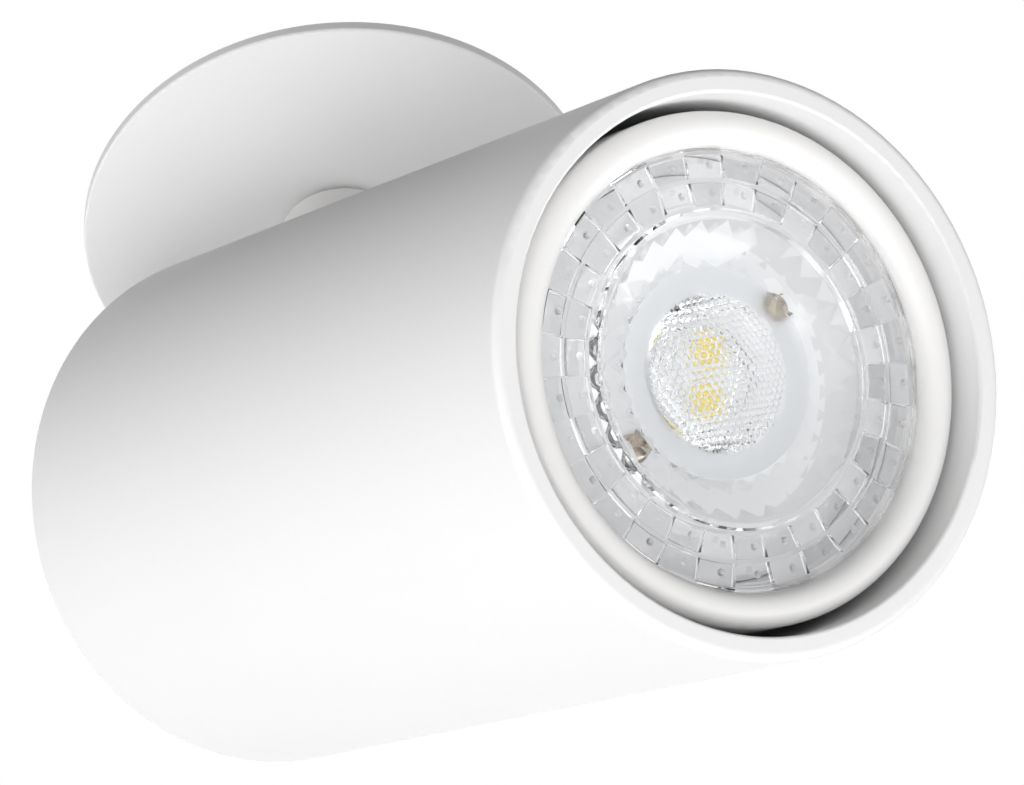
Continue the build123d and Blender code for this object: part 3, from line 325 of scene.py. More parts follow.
def recolour(tree, surface, mask, tone):
    """Lays a second tone over the surface's colour where a mask is 1."""
    mix = add_node(tree, "ShaderNodeMix", data_type="RGBA")
    mix.inputs["B"].default_value = tone
    tree.links.new(mask, mix.inputs["Factor"])
    tree.links.new(surface.inputs["Base Color"].links[0].from_socket, mix.inputs["A"])
    tree.links.new(mix.outputs["Result"], surface.inputs["Base Color"])


def lamp_board(name):
    """White solder mask in the middle of a metal-core board; its wide margin grey as painted shade of the
    lamp's cup.
    """
    material = coated(name, grey(0.9, -0.005), grey(0.87, -0.005), (0.3, 0.42), 0.06, 900.0, 0.5)
    tree = material.node_tree
    radius = head_measure(tree)[0]
    # Painted shade laid over the board's margin, standing in for the shade deep in the lamp's cup.
    shaded_margin = rise_past(tree, radius, BOARD_SHADE_RADIUS, BOARD_SHADE_BLUR)
    recolour(tree, tree.nodes["Principled BSDF"], shaded_margin, BOARD_PAINTED_SHADE)
    return material


def lamp_shell(name):
    """White moulded shell, grey inside behind the lens as painted shade of the lamp's cup."""
    material = coated(name, grey(0.86, 0.008), grey(0.84, 0.008), (0.25, 0.34), 0.03, 1200.0, 0.35)
    tree = material.node_tree
    radius, depth = head_measure(tree)
    behind = rise_past(tree, depth, SHELL_SHADE_ZONE[1], SHELL_BLUR)
    outside = rise_past(tree, radius, SHELL_SHADE_ZONE[0], SHELL_BLUR)
    # Painted shade over the shell's inside behind the lens.
    inside = add_node(tree, "ShaderNodeMath", operation="SUBTRACT", use_clamp=True)
    tree.links.new(behind, inside.inputs[0])
    tree.links.new(outside, inside.inputs[1])
    recolour(tree, tree.nodes["Principled BSDF"], inside.outputs[0], SHELL_PAINTED_SHADE)
    return material


def clear(name, tint, roughness, ior=1.49):
    """Clear or frosted moulding."""
    material, _, surface = new_material(name)
    surface.inputs["Base Color"].default_value = tint
    surface.inputs["Roughness"].default_value = roughness
    surface.inputs["IOR"].default_value = ior
    surface.inputs["Transmission Weight"].default_value = 1.0
    return material


# Each finish: tone, shade, roughness from low to high and bump, with a metal's stretch before its roughness.
# Where they aren't the usual ones, a coat's grain and specular level follow.
MATERIALS = {
    "white_plate": coated("white_plate_coat", grey(0.86), grey(0.82), (0.42, 0.55), 0.12, specular=0.06),
    "white_tube": coated("white_tube_coat", grey(0.86), grey(0.82), (0.45, 0.6), 0.14, specular=0.06),
    "white_stem": coated(
        "white_stem_coat", grey(0.82, 0.01), grey(0.78, 0.01), (0.38, 0.5), 0.1, specular=0.06
    ),
    "zinc_steel": metal(
        "zinc_plate", grey(0.58, -0.02), grey(0.44, -0.02), (1, 0.05, 1), (0.34, 0.5), 0.15
    ),
    "bright_steel": metal("bright_plate", grey(0.6), grey(0.48), (1, 1, 0.2), (0.24, 0.38), 0.08),
    "spring_steel": metal(
        "spring_steel_wire", grey(0.5, -0.02), grey(0.36), (0.1, 1, 1), (0.25, 0.4), 0.1
    ),
    # Washer in dark grey as painted shade, for the shadow gap where the stem meets the plate.
    "white_fibre": coated(
        "fibre_washer_painted_shade", grey(0.34, 0.02), grey(0.26, 0.02), (0.7, 0.9), 0.3, 1600.0, 0.2
    ),
    "grommet_rubber": coated("grommet_rubber_black", grey(0.04), grey(0.025), (0.5, 0.7), 0.2, 1500.0),
    "lamp_shell": lamp_shell("lamp_shell_white_painted_shade"),
    "lens_clear": clear("lens_clear_moulding", (0.985, 0.99, 1.0, 1), 0.02),
    "board_white": lamp_board("board_white_painted_shade_margin"),
    "chip_yellow": coated(
        "chip_phosphor", (0.93, 0.76, 0.2, 1), (0.86, 0.67, 0.14, 1), (0.35, 0.5), 0.1, 3000.0
    ),
    "screw_nickel": metal(
        "nickel_screw", (0.46, 0.4, 0.32, 1), (0.34, 0.29, 0.22, 1), (1, 1, 1), (0.14, 0.24), 0.08
    ),
    "driver_green": coated(
        "driver_board_green", (0.02, 0.13, 0.05, 1), (0.015, 0.09, 0.035, 1), (0.3, 0.4), 0.05
    ),
    "driver_black": coated("component_black", grey(0.03), grey(0.02), (0.4, 0.55), 0.1),
    "base_white": coated(
        "base_white_plastic", grey(0.8, 0.012), grey(0.76, 0.012), (0.4, 0.5), 0.08, 1400.0
    ),
    "steatite": coated(
        "steatite_ceramic", grey(0.76, 0.03), grey(0.7, 0.03), (0.55, 0.75), 0.25, 1500.0, 0.3
    ),
    "contact_brass": metal(
        "brass_strip", (0.75, 0.53, 0.2, 1), (0.6, 0.4, 0.13, 1), (1, 0.1, 1), (0.22, 0.38), 0.1
    ),
    "nylon_washer": coated(
        "nylon_natural", grey(0.74, 0.01), grey(0.7, 0.01), (0.35, 0.5), 0.08, 1200.0, 0.5
    ),
}

SLOT_NODES = {
    "white_plate": ["ceiling_plate"],
    "white_tube": ["head_tube", "rear_cap"],
    "white_stem": ["swivel_stem"],
    "zinc_steel": ["recess_housing", "clip_bracket", "holder_bracket", "clip_arm_left", "clip_arm_right"],
    "bright_steel": [
        "clip_pins", "stop_pin", "stop_washer", "lock_nut", "earth_tag", "cap_screws", "bracket_screws",
        "pivot_screw", "pivot_nut", "holder_screws", "lamp_pins",
    ],
    "spring_steel": ["clip_spring_left", "clip_spring_right", "disc_spring"],
    "white_fibre": ["stem_washer"],
    "grommet_rubber": ["stem_grommet"],
    "lamp_shell": ["lamp_housing"],
    "lens_clear": ["lamp_lens"],
    "board_white": ["led_board"],
    "chip_yellow": ["led_chips"],
    "screw_nickel": ["board_screws"],
    "driver_green": ["driver_board"],
    "driver_black": ["driver_components"],
    "base_white": ["lamp_base"],
    "steatite": ["lampholder_body", "lampholder_cover"],
    "contact_brass": ["holder_contacts"],
    "nylon_washer": ["friction_washers"],
}

for slot, names in SLOT_NODES.items():
    for name in names:
        mesh = frame["nodes"][name].data
        mesh.materials.clear()
        mesh.materials.append(MATERIALS[slot])
        for polygon in mesh.polygons:
            polygon.material_index = 0


# Lens of the lamp, drawn in the head's own frame and then put in place.
# Pairs are a radius and a depth behind the front rim; a bowl row's second value is how far it sinks.

LENS_RADIUS = 0.0214
LENS_FRONT = 0.00375
LENS_BACK = 0.00535
LENS_EDGE_BREAK = 0.0002
TILE_COUNT = 30
TILE_STEPS = 4
TILE_RINGS = ((0.0210, 0.0186), (0.0183, 0.0159))
TILE_BORDER = 0.00008
TILE_DOT_RADIUS = 0.0004
TILE_DOT_RISE = 0.00015
TILE_DOT_CREST = 0.45
TILE_CORNERS = 6
PRISM_DEEP = 0.0007
PRISM_SHALLOW = 0.00006
LIP = ((0.0156, 0.00375), (0.01535, 0.0036), (0.0149, 0.0036), (0.0146, 0.0038))
BOWL_TOP = (0.0145, 0.0039)
BOWL_FOOT = (0.0103, 0.0063)
BOWL_ROWS = ((0.0133, 0.0006), (0.0121, -0.00055), (0.0110, 0.0005))
BOWL_FLOOR = 0.00635
FLOOR_OUTER = 0.0100
DOME_RADIUS = 0.0077
DOME_RISE = 0.0011
BOWL_BACK = ((0.0155, 0.00535), (0.0102, 0.00755), (0.0077, 0.00755))
CORE_FOOT = ((0.0056, 0.00915), (0.0046, 0.00915), (0.0046, 0.00825))
DOME_EDGE = 0.0079
CELL_PITCH = 0.00072
CELL_RISE = 0.00016
CELL_STEPS = ((0.13, 0.6), (0.15, 0.3))
CELL_TIP = 0.1
CELL_CREST = 0.95
CELL_MIDDLE = CELL_PITCH * 0.05
LENS_CREASE = math.radians(22)
FLOOR_FROST = 0.45
PIP_FROST = 0.6

# Gaps within which corners are merged, or a corner or face counts as being at a place.
MERGE_GAP = 0.000004
LEVEL_GAP = 0.00001
RING_GAP = 0.00002
SPOT_GAP = 0.0002
WALL_GAP = 0.0008
FRONT_LIMIT = LENS_BACK - 0.001
SECTOR_SLACK = 0.001


def start_piece():
    """Leaves edit mode and deselects everything."""
    if bpy.context.object and bpy.context.object.mode != "OBJECT":
        bpy.ops.object.mode_set(mode="OBJECT")
    bpy.ops.object.select_all(action="DESELECT")


def take(piece, *others):
    """Selects only these pieces, with the first one active."""
    start_piece()
    for part in (piece, *others):
        part.select_set(True)
    bpy.context.view_layer.objects.active = piece


def pick(piece, kind, test):
    """In edit mode, selects the vertices, edges or faces that pass a test."""
    bpy.ops.mesh.select_all(action="DESELECT")
    bpy.ops.mesh.select_mode(type=kind)
    mesh = bmesh.from_edit_mesh(piece.data)
    for part in {"VERT": mesh.verts, "EDGE": mesh.edges, "FACE": mesh.faces}[kind]:
        if test(part):
            part.select_set(True)
    mesh.select_flush_mode()
    bmesh.update_edit_mesh(piece.data)


def ring_at(radius, depth):
    """Test for a vertex that lies on one ring."""
    def on_ring(vertex):
        return abs(vertex.co.xy.length - radius) < RING_GAP and abs(vertex.co.z - depth) < RING_GAP
    return on_ring


def draw_to(piece, radius, depth):
    """Extrudes the selected ring or arc of edges to a new radius and depth."""
    mesh = bmesh.from_edit_mesh(piece.data)
    first = next(vertex.co for vertex in mesh.verts if vertex.select)
    share = radius / first.xy.length
    lift = depth - first.z
    bpy.ops.mesh.extrude_edges_move(TRANSFORM_OT_translate={"value": (0, 0, lift)})
    bpy.ops.transform.resize(value=(share, share, 1), center_override=(0, 0, 0))


def in_strip(outer, inner, depth):
    """Test for a face of the strip between two radii of a flat side."""
    def on_strip(face):
        middle = face.calc_center_median()
        return inner < middle.xy.length < outer and abs(middle.z - depth) < LEVEL_GAP
    return on_strip


def join_strip(piece, outer, inner, depth):
    """Makes one tile of the faces of a strip and insets its border."""
    pick(piece, "FACE", in_strip(outer, inner, depth))
    bpy.ops.mesh.dissolve_faces()
    bpy.ops.mesh.inset(thickness=TILE_BORDER)


def front_tile(piece, outer, inner):
    """Tile of the lens's front, with a small round pip in its middle."""
    join_strip(piece, outer, inner, LENS_FRONT)
    bpy.ops.mesh.poke()
    middle = (outer + inner) / 2
    pick(piece, "VERT", lambda v: abs(v.co.x - middle) < SPOT_GAP and abs(v.co.y) < LEVEL_GAP
         and v.co.z < FRONT_LIMIT)
    bpy.ops.mesh.bevel(offset=TILE_DOT_RADIUS, affect="VERTICES", offset_type="OFFSET")
    pick(piece, "FACE", lambda f: (f.calc_center_median().xy - Vector((middle, 0))).length < SPOT_GAP
         and f.calc_center_median().z < FRONT_LIMIT and len(f.verts) > TILE_CORNERS)
    bpy.ops.mesh.inset(thickness=TILE_DOT_RADIUS * TILE_DOT_CREST, depth=0.0)
    bpy.ops.transform.translate(value=(0, 0, -TILE_DOT_RISE))


def back_prism(piece, outer, inner):
    """Pocket of the lens's back, deeper towards the middle."""
    join_strip(piece, outer, inner, LENS_BACK)
    bpy.ops.mesh.extrude_region_move(TRANSFORM_OT_translate={"value": (0, 0, -PRISM_SHALLOW)})
    middle = (outer + inner) / 2
    floor = LENS_BACK - PRISM_SHALLOW
    pick(piece, "VERT", lambda v: inner < v.co.xy.length < middle and abs(v.co.z - floor) < LEVEL_GAP)
    bpy.ops.transform.translate(value=(0, 0, PRISM_SHALLOW - PRISM_DEEP))


def turn_slopes(piece):
    """Slopes every second pocket of a ring the other way, so that neighbours bend light apart."""
    swing = PRISM_DEEP - PRISM_SHALLOW
    for ring, (outer, inner) in enumerate(TILE_RINGS):
        middle = (outer + inner) / 2
        for near, far, lift in ((inner, middle, swing), (middle, outer, -swing)):
            pick(piece, "VERT", lambda v: near < v.co.xy.length < far
                 and LENS_FRONT + TILE_BORDER < v.co.z < LENS_BACK - PRISM_SHALLOW / 2
                 and round(math.atan2(v.co.y, v.co.x) * TILE_COUNT / (2 * math.pi)) % 2 == ring)
            bpy.ops.transform.translate(value=(0, 0, lift))


def bowl_point(radius, sink):
    """Depth on the bowl's wall at a radius, sunk or raised a little."""
    share = (BOWL_TOP[0] - radius) / (BOWL_TOP[0] - BOWL_FOOT[0])
    return BOWL_TOP[1] + share * (BOWL_FOOT[1] - BOWL_TOP[1]) + sink


def bowl_facets(piece):
    """Rows of diamonds down the bowl's wall; the open diamonds between sectors are filled later."""
    half = math.pi / TILE_COUNT
    mesh = bmesh.from_edit_mesh(piece.data)
    upper = sorted((v for v in mesh.verts if ring_at(*BOWL_TOP)(v)), key=lambda v: v.co.y)
    lower = sorted((v for v in mesh.verts if ring_at(*BOWL_FOOT)(v)), key=lambda v: v.co.y)
    (top_radius, top_sink), (side_radius, side_sink), (foot_radius, foot_sink) = BOWL_ROWS
    top = mesh.verts.new((top_radius, 0, bowl_point(top_radius, top_sink)))
    foot = mesh.verts.new((foot_radius, 0, bowl_point(foot_radius, foot_sink)))
    sides = [
        mesh.verts.new((
            side_radius * math.cos(turn), side_radius * math.sin(turn), bowl_point(side_radius, side_sink)
        ))
        for turn in (-half, half)
    ]
    for near, far in zip(upper, upper[1:]):
        mesh.faces.new((near, far, top))
    for near, far in zip(lower, lower[1:]):
        mesh.faces.new((far, near, foot))
    mesh.faces.new((top, sides[0], foot, sides[1]))
    bmesh.update_edit_mesh(piece.data)


def lens_sector():
    """One twelve-degree slice of the lens: both its sides, from the edge to the dome and the core."""
    start_piece()
    bpy.ops.mesh.primitive_circle_add(
        vertices=TILE_COUNT * TILE_STEPS, radius=LENS_RADIUS, location=(0, 0, 0)
    )
    piece = bpy.context.object
    piece.name = "lamp_lens_moulding"
    bpy.ops.object.mode_set(mode="EDIT")
    half = math.pi / TILE_COUNT + SECTOR_SLACK
    pick(piece, "VERT", lambda v: abs(math.atan2(v.co.y, v.co.x)) > half)
    bpy.ops.mesh.delete(type="VERT")
    bpy.ops.mesh.select_all(action="SELECT")
    bpy.ops.transform.translate(value=(0, 0, LENS_BACK))

    front = [(LENS_RADIUS, LENS_FRONT + LENS_EDGE_BREAK), (LENS_RADIUS - LENS_EDGE_BREAK, LENS_FRONT)]
    front += [(radius, LENS_FRONT) for ring in TILE_RINGS for radius in ring]
    front += [*LIP, BOWL_TOP]
    pick(piece, "VERT", ring_at(LENS_RADIUS, LENS_BACK))
    for radius, depth in front:
        draw_to(piece, radius, depth)
    back = [(radius, LENS_BACK) for ring in TILE_RINGS for radius in ring]
    back += [*BOWL_BACK, *CORE_FOOT]
    pick(piece, "VERT", ring_at(LENS_RADIUS, LENS_BACK))
    for radius, depth in back:
        draw_to(piece, radius, depth)
    for outer, inner in TILE_RINGS:
        front_tile(piece, outer, inner)
        back_prism(piece, outer, inner)

    pick(piece, "VERT", ring_at(*BOWL_TOP))
    share = BOWL_FOOT[0] / BOWL_TOP[0]
    bpy.ops.mesh.duplicate_move(TRANSFORM_OT_translate={"value": (0, 0, BOWL_FOOT[1] - BOWL_TOP[1])})
    bpy.ops.transform.resize(value=(share, share, 1), center_override=(0, 0, 0))
    draw_to(piece, FLOOR_OUTER, BOWL_FLOOR)
    draw_to(piece, DOME_EDGE, BOWL_FLOOR)
    bowl_facets(piece)
    return piece


def micro_dome():
    """Dome of small six-sided lenslets: one is modelled and copied in rows, then the sheet is domed."""
    start_piece()
    bpy.ops.mesh.primitive_circle_add(
        vertices=6, radius=CELL_PITCH / math.sqrt(3), fill_type="NGON", location=(0, 0, BOWL_FLOOR)
    )
    dome = bpy.context.object
    dome.name = "lamp_lens_dome"
    bpy.ops.object.transform_apply(location=True, rotation=False, scale=False)
    bpy.ops.object.mode_set(mode="EDIT")
    bpy.ops.mesh.select_all(action="SELECT")
    for border, rise in CELL_STEPS:
        bpy.ops.mesh.inset(thickness=CELL_PITCH * border)
        bpy.ops.transform.translate(value=(0, 0, -CELL_RISE * rise))
    bpy.ops.mesh.poke()
    pick(dome, "VERT", lambda v: v.co.xy.length < CELL_MIDDLE)
    bpy.ops.transform.translate(value=(0, 0, -CELL_RISE * CELL_TIP))
    bpy.ops.object.mode_set(mode="OBJECT")

    reach = 2 * math.ceil(DOME_RADIUS / CELL_PITCH / 2) + 2
    row_step = CELL_PITCH * math.sqrt(3) / 2
    for offset, count in (
        ((CELL_PITCH, 0, 0), 3 * reach + 1),
        ((CELL_PITCH / 2, row_step, 0), 2 * reach + 1),
    ):
        rows = dome.modifiers.new("rows", "ARRAY")
        rows.use_relative_offset = False
        rows.use_constant_offset = True
        rows.constant_offset_displace = offset
        rows.count = count
        bpy.ops.object.modifier_apply(modifier=rows.name)
    bpy.ops.object.mode_set(mode="EDIT")
    bpy.ops.mesh.select_all(action="SELECT")
    bpy.ops.transform.translate(value=(-2 * reach * CELL_PITCH, -reach * row_step, 0))
    crest = BOWL_FLOOR - CELL_RISE * CELL_CREST
    pick(dome, "VERT", lambda v: v.co.z < crest and v.co.xy.length > DOME_RADIUS - CELL_PITCH / 2)
    bpy.ops.mesh.select_linked()
    bpy.ops.mesh.delete(type="VERT")
    bpy.ops.mesh.select_all(action="SELECT")
    bpy.ops.mesh.remove_doubles(threshold=MERGE_GAP)
    pick(dome, "VERT", lambda v: v.co.xy.length < CELL_MIDDLE and v.co.z < crest)
    round_radius = (DOME_RADIUS ** 2 + DOME_RISE ** 2) / (2 * DOME_RISE)
    bpy.ops.transform.translate(
        value=(0, 0, -round_radius), use_proportional_edit=True,
        proportional_edit_falloff="SPHERE", proportional_size=round_radius,
    )
    bpy.ops.mesh.select_all(action="SELECT")
    bpy.ops.transform.translate(value=(0, 0, round_radius - DOME_RISE))
    bpy.ops.object.mode_set(mode="OBJECT")
    return dome


def front_hole(edge):
    """Test for an open edge of the lens's front, round the dome."""
    return edge.is_boundary and all(
        v.co.z < BOWL_FLOOR + SPOT_GAP and v.co.xy.length < FLOOR_OUTER for v in edge.verts
    )


def lamp_lens_piece():
    """Whole lens: slices copied round and merged, diamonds closed, and the dome and core filled in."""
    piece = lens_sector()
    bpy.ops.mesh.select_all(action="SELECT")
    last = 2 * math.pi * (TILE_COUNT - 1) / TILE_COUNT
    bpy.ops.mesh.spin(steps=TILE_COUNT - 1, dupli=True, angle=last, center=(0, 0, 0), axis=(0, 0, 1))
    bpy.ops.mesh.select_all(action="SELECT")
    bpy.ops.mesh.remove_doubles(threshold=MERGE_GAP)
    bpy.ops.mesh.select_all(action="SELECT")
    bpy.ops.mesh.fill_holes(sides=4)
    turn_slopes(piece)
    pick(piece, "EDGE", lambda e: e.is_boundary and all(ring_at(*CORE_FOOT[-1])(v) for v in e.verts))
    bpy.ops.mesh.edge_face_add()
    bpy.ops.object.mode_set(mode="OBJECT")

    take(piece, micro_dome())
    bpy.ops.object.join()
    bpy.ops.object.mode_set(mode="EDIT")
    pick(piece, "EDGE", front_hole)
    bpy.ops.mesh.fill(use_beauty=True)
    bpy.ops.mesh.select_all(action="SELECT")
    bpy.ops.mesh.normals_make_consistent(inside=False)
    bpy.ops.object.mode_set(mode="OBJECT")
    bpy.ops.object.shade_smooth_by_angle(angle=LENS_CREASE)
    return piece


def frosted_part(piece, material, test):
    """Gives a second material to the faces that pass a test."""
    piece.data.materials.append(material)
    for face in piece.data.polygons:
        if test(face.center):
            face.material_index = len(piece.data.materials) - 1


def flat_part(piece, test):
    """Shades flat the faces that pass a test, so that each facet catches the light by itself."""
    for face in piece.data.polygons:
        if test(face.center):
            face.use_smooth = False


def put_in_place(piece, place):
    """Moves a piece by a matrix, with its new place kept in its mesh."""
    take(piece)
    piece.matrix_world = place
    bpy.ops.object.transform_apply(location=True, rotation=True, scale=True)


def on_bowl_floor(middle):
    """Test for a face of the bowl's flat floor, by its middle."""
    return (DOME_EDGE - SPOT_GAP < middle.xy.length < BOWL_FOOT[0]
            and abs(middle.z - BOWL_FLOOR) < SPOT_GAP)


def on_pip(middle):
    """Test for a face of a tile's pip, by its middle."""
    return middle.xy.length > TILE_RINGS[-1][1] and middle.z < LENS_FRONT - RING_GAP


def on_bowl_wall(middle):
    """Test for a face of the bowl's faceted wall, by its middle."""
    radius = middle.xy.length
    return BOWL_FOOT[0] < radius < BOWL_TOP[0] and middle.z < bowl_point(radius, WALL_GAP)


lens = lamp_lens_piece()
lens.data.materials.append(MATERIALS["lens_clear"])
frosted_part(lens, clear("lens_frosted_floor", (0.96, 0.98, 1.0, 1), FLOOR_FROST), on_bowl_floor)
frosted_part(lens, clear("lens_frosted_pips", WHITE, PIP_FROST), on_pip)
flat_part(lens, on_bowl_wall)
put_in_place(lens, head_place())
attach(lens, "lamp")
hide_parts("lamp_lens")


# Chips and screws of the lamp's board, drawn in the head's own frame.

CHIP_SIZE = 0.0030
CHIP_HEIGHT = 0.0007
CHIP_PITCH = 0.0045
CHIP_TURN = math.radians(-16.0)
CHIP_FRAME = 0.00018
CHIP_EDGE_BREAK = CHIP_FRAME / 4
CHIP_SINK = 0.00008
BOARD_FACE = 0.00945
SCREW_PITCH_RADIUS = 0.0115
SCREW_TURN = math.radians(30.5)
SCREW_HEAD_RADIUS = 0.0015
SCREW_HEAD_HEIGHT = 0.0012
SCREW_SHANK_RADIUS = 0.0008
SCREW_TIP_DEPTH = 0.01165
SCREW_SIDES = 32
SCREW_CROWN = SCREW_HEAD_HEIGHT * 0.55
SCREW_CROWN_STEPS = 6
SCREW_CREASE = math.radians(30)
CROSS_WIDTH = 0.00045
CROSS_REACH = 0.00095
CROSS_DEPTH = 0.0006


def copy_of(piece, name):
    """A second piece with its own mesh."""
    twin = bpy.data.objects.new(name, piece.data.copy())
    bpy.context.scene.collection.objects.link(twin)
    return twin


def at_depth(depth):
    """Test for an edge or face that lies at one depth."""
    def on_depth(part):
        return all(abs(vertex.co.z - depth) < LEVEL_GAP for vertex in part.verts)
    return on_depth


def chip_piece():
    """Chip package: a white frame round its sunk phosphor window."""
    start_piece()
    bpy.ops.mesh.primitive_cube_add(size=1, location=(0, 0, BOARD_FACE - CHIP_HEIGHT / 2))
    chip = bpy.context.object
    chip.name = "led_chip"
    chip.scale = (CHIP_SIZE, CHIP_SIZE, CHIP_HEIGHT)
    bpy.ops.object.transform_apply(location=True, rotation=True, scale=True)
    bpy.ops.object.mode_set(mode="EDIT")
    bpy.ops.mesh.select_all(action="SELECT")
    bpy.ops.mesh.bevel(offset=CHIP_EDGE_BREAK, segments=2, affect="EDGES")
    top = BOARD_FACE - CHIP_HEIGHT
    pick(chip, "FACE", at_depth(top))
    bpy.ops.mesh.inset(thickness=CHIP_FRAME)
    bpy.ops.mesh.extrude_region_move(TRANSFORM_OT_translate={"value": (0, 0, CHIP_SINK)})
    bpy.ops.object.mode_set(mode="OBJECT")
    chip.data.materials.append(MATERIALS["board_white"])
    chip.data.materials.append(MATERIALS["chip_yellow"])
    for face in chip.data.polygons:
        if face.center.xy.length < CHIP_FRAME and abs(face.center.z - top - CHIP_SINK) < LEVEL_GAP:
            face.material_index = 1
    return chip


def cross_recess(screw, top):
    """Cuts the driver's cross into the head with two crossed blocks."""
    for turn in (0, math.pi / 2):
        start_piece()
        bpy.ops.mesh.primitive_cube_add(size=1, location=(0, 0, top))
        cutter = bpy.context.object
        cutter.scale = (2 * CROSS_REACH, CROSS_WIDTH, 2 * CROSS_DEPTH)
        cutter.rotation_euler = (0, 0, turn)
        bpy.ops.object.transform_apply(location=True, rotation=True, scale=True)
        take(screw)
        cut = screw.modifiers.new("cross", "BOOLEAN")
        cut.operation = "DIFFERENCE"
        cut.object = cutter
        bpy.ops.object.modifier_apply(modifier=cut.name)
        bpy.data.objects.remove(cutter)


def board_screw_piece():
    """Small round-headed screw with a cross recess."""
    start_piece()
    top = BOARD_FACE - SCREW_HEAD_HEIGHT
    bpy.ops.mesh.primitive_cylinder_add(
        vertices=SCREW_SIDES, radius=SCREW_HEAD_RADIUS, depth=SCREW_HEAD_HEIGHT,
        location=(0, 0, BOARD_FACE - SCREW_HEAD_HEIGHT / 2),
    )
    screw = bpy.context.object
    screw.name = "board_screw"
    bpy.ops.object.transform_apply(location=True, rotation=True, scale=True)
    bpy.ops.object.mode_set(mode="EDIT")
    pick(screw, "FACE", at_depth(BOARD_FACE))
    bpy.ops.mesh.inset(thickness=SCREW_HEAD_RADIUS - SCREW_SHANK_RADIUS)
    bpy.ops.mesh.extrude_region_move(TRANSFORM_OT_translate={"value": (0, 0, SCREW_TIP_DEPTH - BOARD_FACE)})
    pick(screw, "EDGE", at_depth(top))
    bpy.ops.mesh.bevel(offset=SCREW_CROWN, segments=SCREW_CROWN_STEPS, affect="EDGES")
    bpy.ops.object.mode_set(mode="OBJECT")
    cross_recess(screw, top)
    bpy.ops.object.shade_smooth_by_angle(angle=SCREW_CREASE)
    screw.data.materials.append(MATERIALS["screw_nickel"])
    return screw


def on_board(radius, turn, spin):
    """Matrix for a piece on the board at a radius and turn, itself turned by a spin."""
    spot = Matrix.Translation((radius * math.cos(turn), radius * math.sin(turn), 0))
    return head_place() @ spot @ Matrix.Rotation(spin, 4, "Z")


def pair_on_board(piece, radius, turn, node):
    """Puts a piece and its copy on opposite sides of the board's middle."""
    twin = copy_of(piece, piece.name + "_b")
    for part, side in ((piece, turn), (twin, turn + math.pi)):
        put_in_place(part, on_board(radius, side, turn))
        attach(part, "lamp")
        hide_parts(node)


pair_on_board(chip_piece(), CHIP_PITCH / 2, CHIP_TURN, "led_chips")
pair_on_board(board_screw_piece(), SCREW_PITCH_RADIUS, SCREW_TURN, "board_screws")


# Springs of the two ceiling clips, drawn about the clip's hinge at +Y.

CLIP_PIVOT = Vector((0, 0.011704, 0.0145))
CLIP_REST = math.radians(25.0)
STRAP_TOP = 0.0024
COIL_RADIUS = 0.00185
WIRE_RADIUS = 0.00042
WIRE_SIDES = 10
WIRE_TIP = WIRE_RADIUS * 0.6
WIRE_TIP_STEPS = 3
WIRE_END_REACH = WIRE_RADIUS * 1.05
WIRE_CREASE = math.radians(50)
COIL_STEPS = 120
COIL_PITCH = 0.0009
LEG_REACH = 0.0088
LEG_DROP = 0.00218
LEG_LEAVE = math.acos(COIL_RADIUS / math.hypot(LEG_REACH, LEG_DROP)) - math.atan2(LEG_DROP, LEG_REACH)
COIL_TURNS = 4.5 - (LEG_LEAVE - CLIP_REST) / (2 * math.pi)
COIL_HALF = COIL_PITCH * COIL_TURNS / 2


def spring_coil():
    """Coil wound from round wire about the hinge, with its fixed leg down to the bracket's strap."""
    start_piece()
    bpy.ops.mesh.primitive_circle_add(
        vertices=WIRE_SIDES, radius=WIRE_RADIUS, location=(-COIL_HALF, -COIL_RADIUS, 0)
    )
    coil = bpy.context.object
    coil.name = "clip_spring_coil"
    bpy.ops.object.transform_apply(location=True, rotation=True, scale=True)
    winding = coil.modifiers.new("winding", "SCREW")
    winding.axis = "X"
    winding.angle = -2 * math.pi * COIL_TURNS
    winding.screw_offset = 2 * COIL_HALF
    winding.steps = COIL_STEPS
    winding.render_steps = COIL_STEPS
    bpy.ops.object.modifier_apply(modifier=winding.name)
    bpy.ops.object.mode_set(mode="EDIT")
    start = Vector((-COIL_HALF, -COIL_RADIUS, 0))
    pick(coil, "EDGE", lambda e: e.is_boundary
         and all((v.co - start).length < WIRE_END_REACH for v in e.verts))
    bpy.ops.mesh.extrude_edges_move(TRANSFORM_OT_translate={"value": (0, 0, STRAP_TOP - CLIP_PIVOT.z)})
    bpy.ops.mesh.edge_face_add()
    pick(coil, "EDGE", lambda e: e.is_boundary)
    bpy.ops.mesh.edge_face_add()
    bpy.ops.mesh.select_all(action="SELECT")
    bpy.ops.mesh.normals_make_consistent(inside=False)
    bpy.ops.object.mode_set(mode="OBJECT")
    bpy.ops.object.shade_smooth_by_angle(angle=WIRE_CREASE)
    coil.data.materials.append(MATERIALS["spring_steel"])
    return coil


def spring_leg():
    """Moving leg: straight from the coil's last turn to the arm's web, with a rounded tip."""
    start_piece()
    start = Vector((COIL_HALF, COIL_RADIUS * math.cos(LEG_LEAVE), COIL_RADIUS * math.sin(LEG_LEAVE)))
    tip = Vector((COIL_HALF, LEG_REACH, -LEG_DROP))
    run = tip - start
    bpy.ops.mesh.primitive_cylinder_add(vertices=WIRE_SIDES, radius=WIRE_RADIUS, depth=run.length)
    leg = bpy.context.object
    leg.name = "clip_spring_leg"
    bpy.ops.object.mode_set(mode="EDIT")
    pick(leg, "EDGE", at_depth(run.length / 2))
    bpy.ops.mesh.bevel(offset=WIRE_TIP, segments=WIRE_TIP_STEPS, affect="EDGES")
    bpy.ops.object.mode_set(mode="OBJECT")
    bpy.ops.object.shade_smooth_by_angle(angle=WIRE_CREASE)
    along = run.to_track_quat("Z", "Y").to_matrix().to_4x4()
    put_in_place(leg, Matrix.Translation((start + tip) / 2) @ along)
    leg.data.materials.append(MATERIALS["spring_steel"])
    return leg


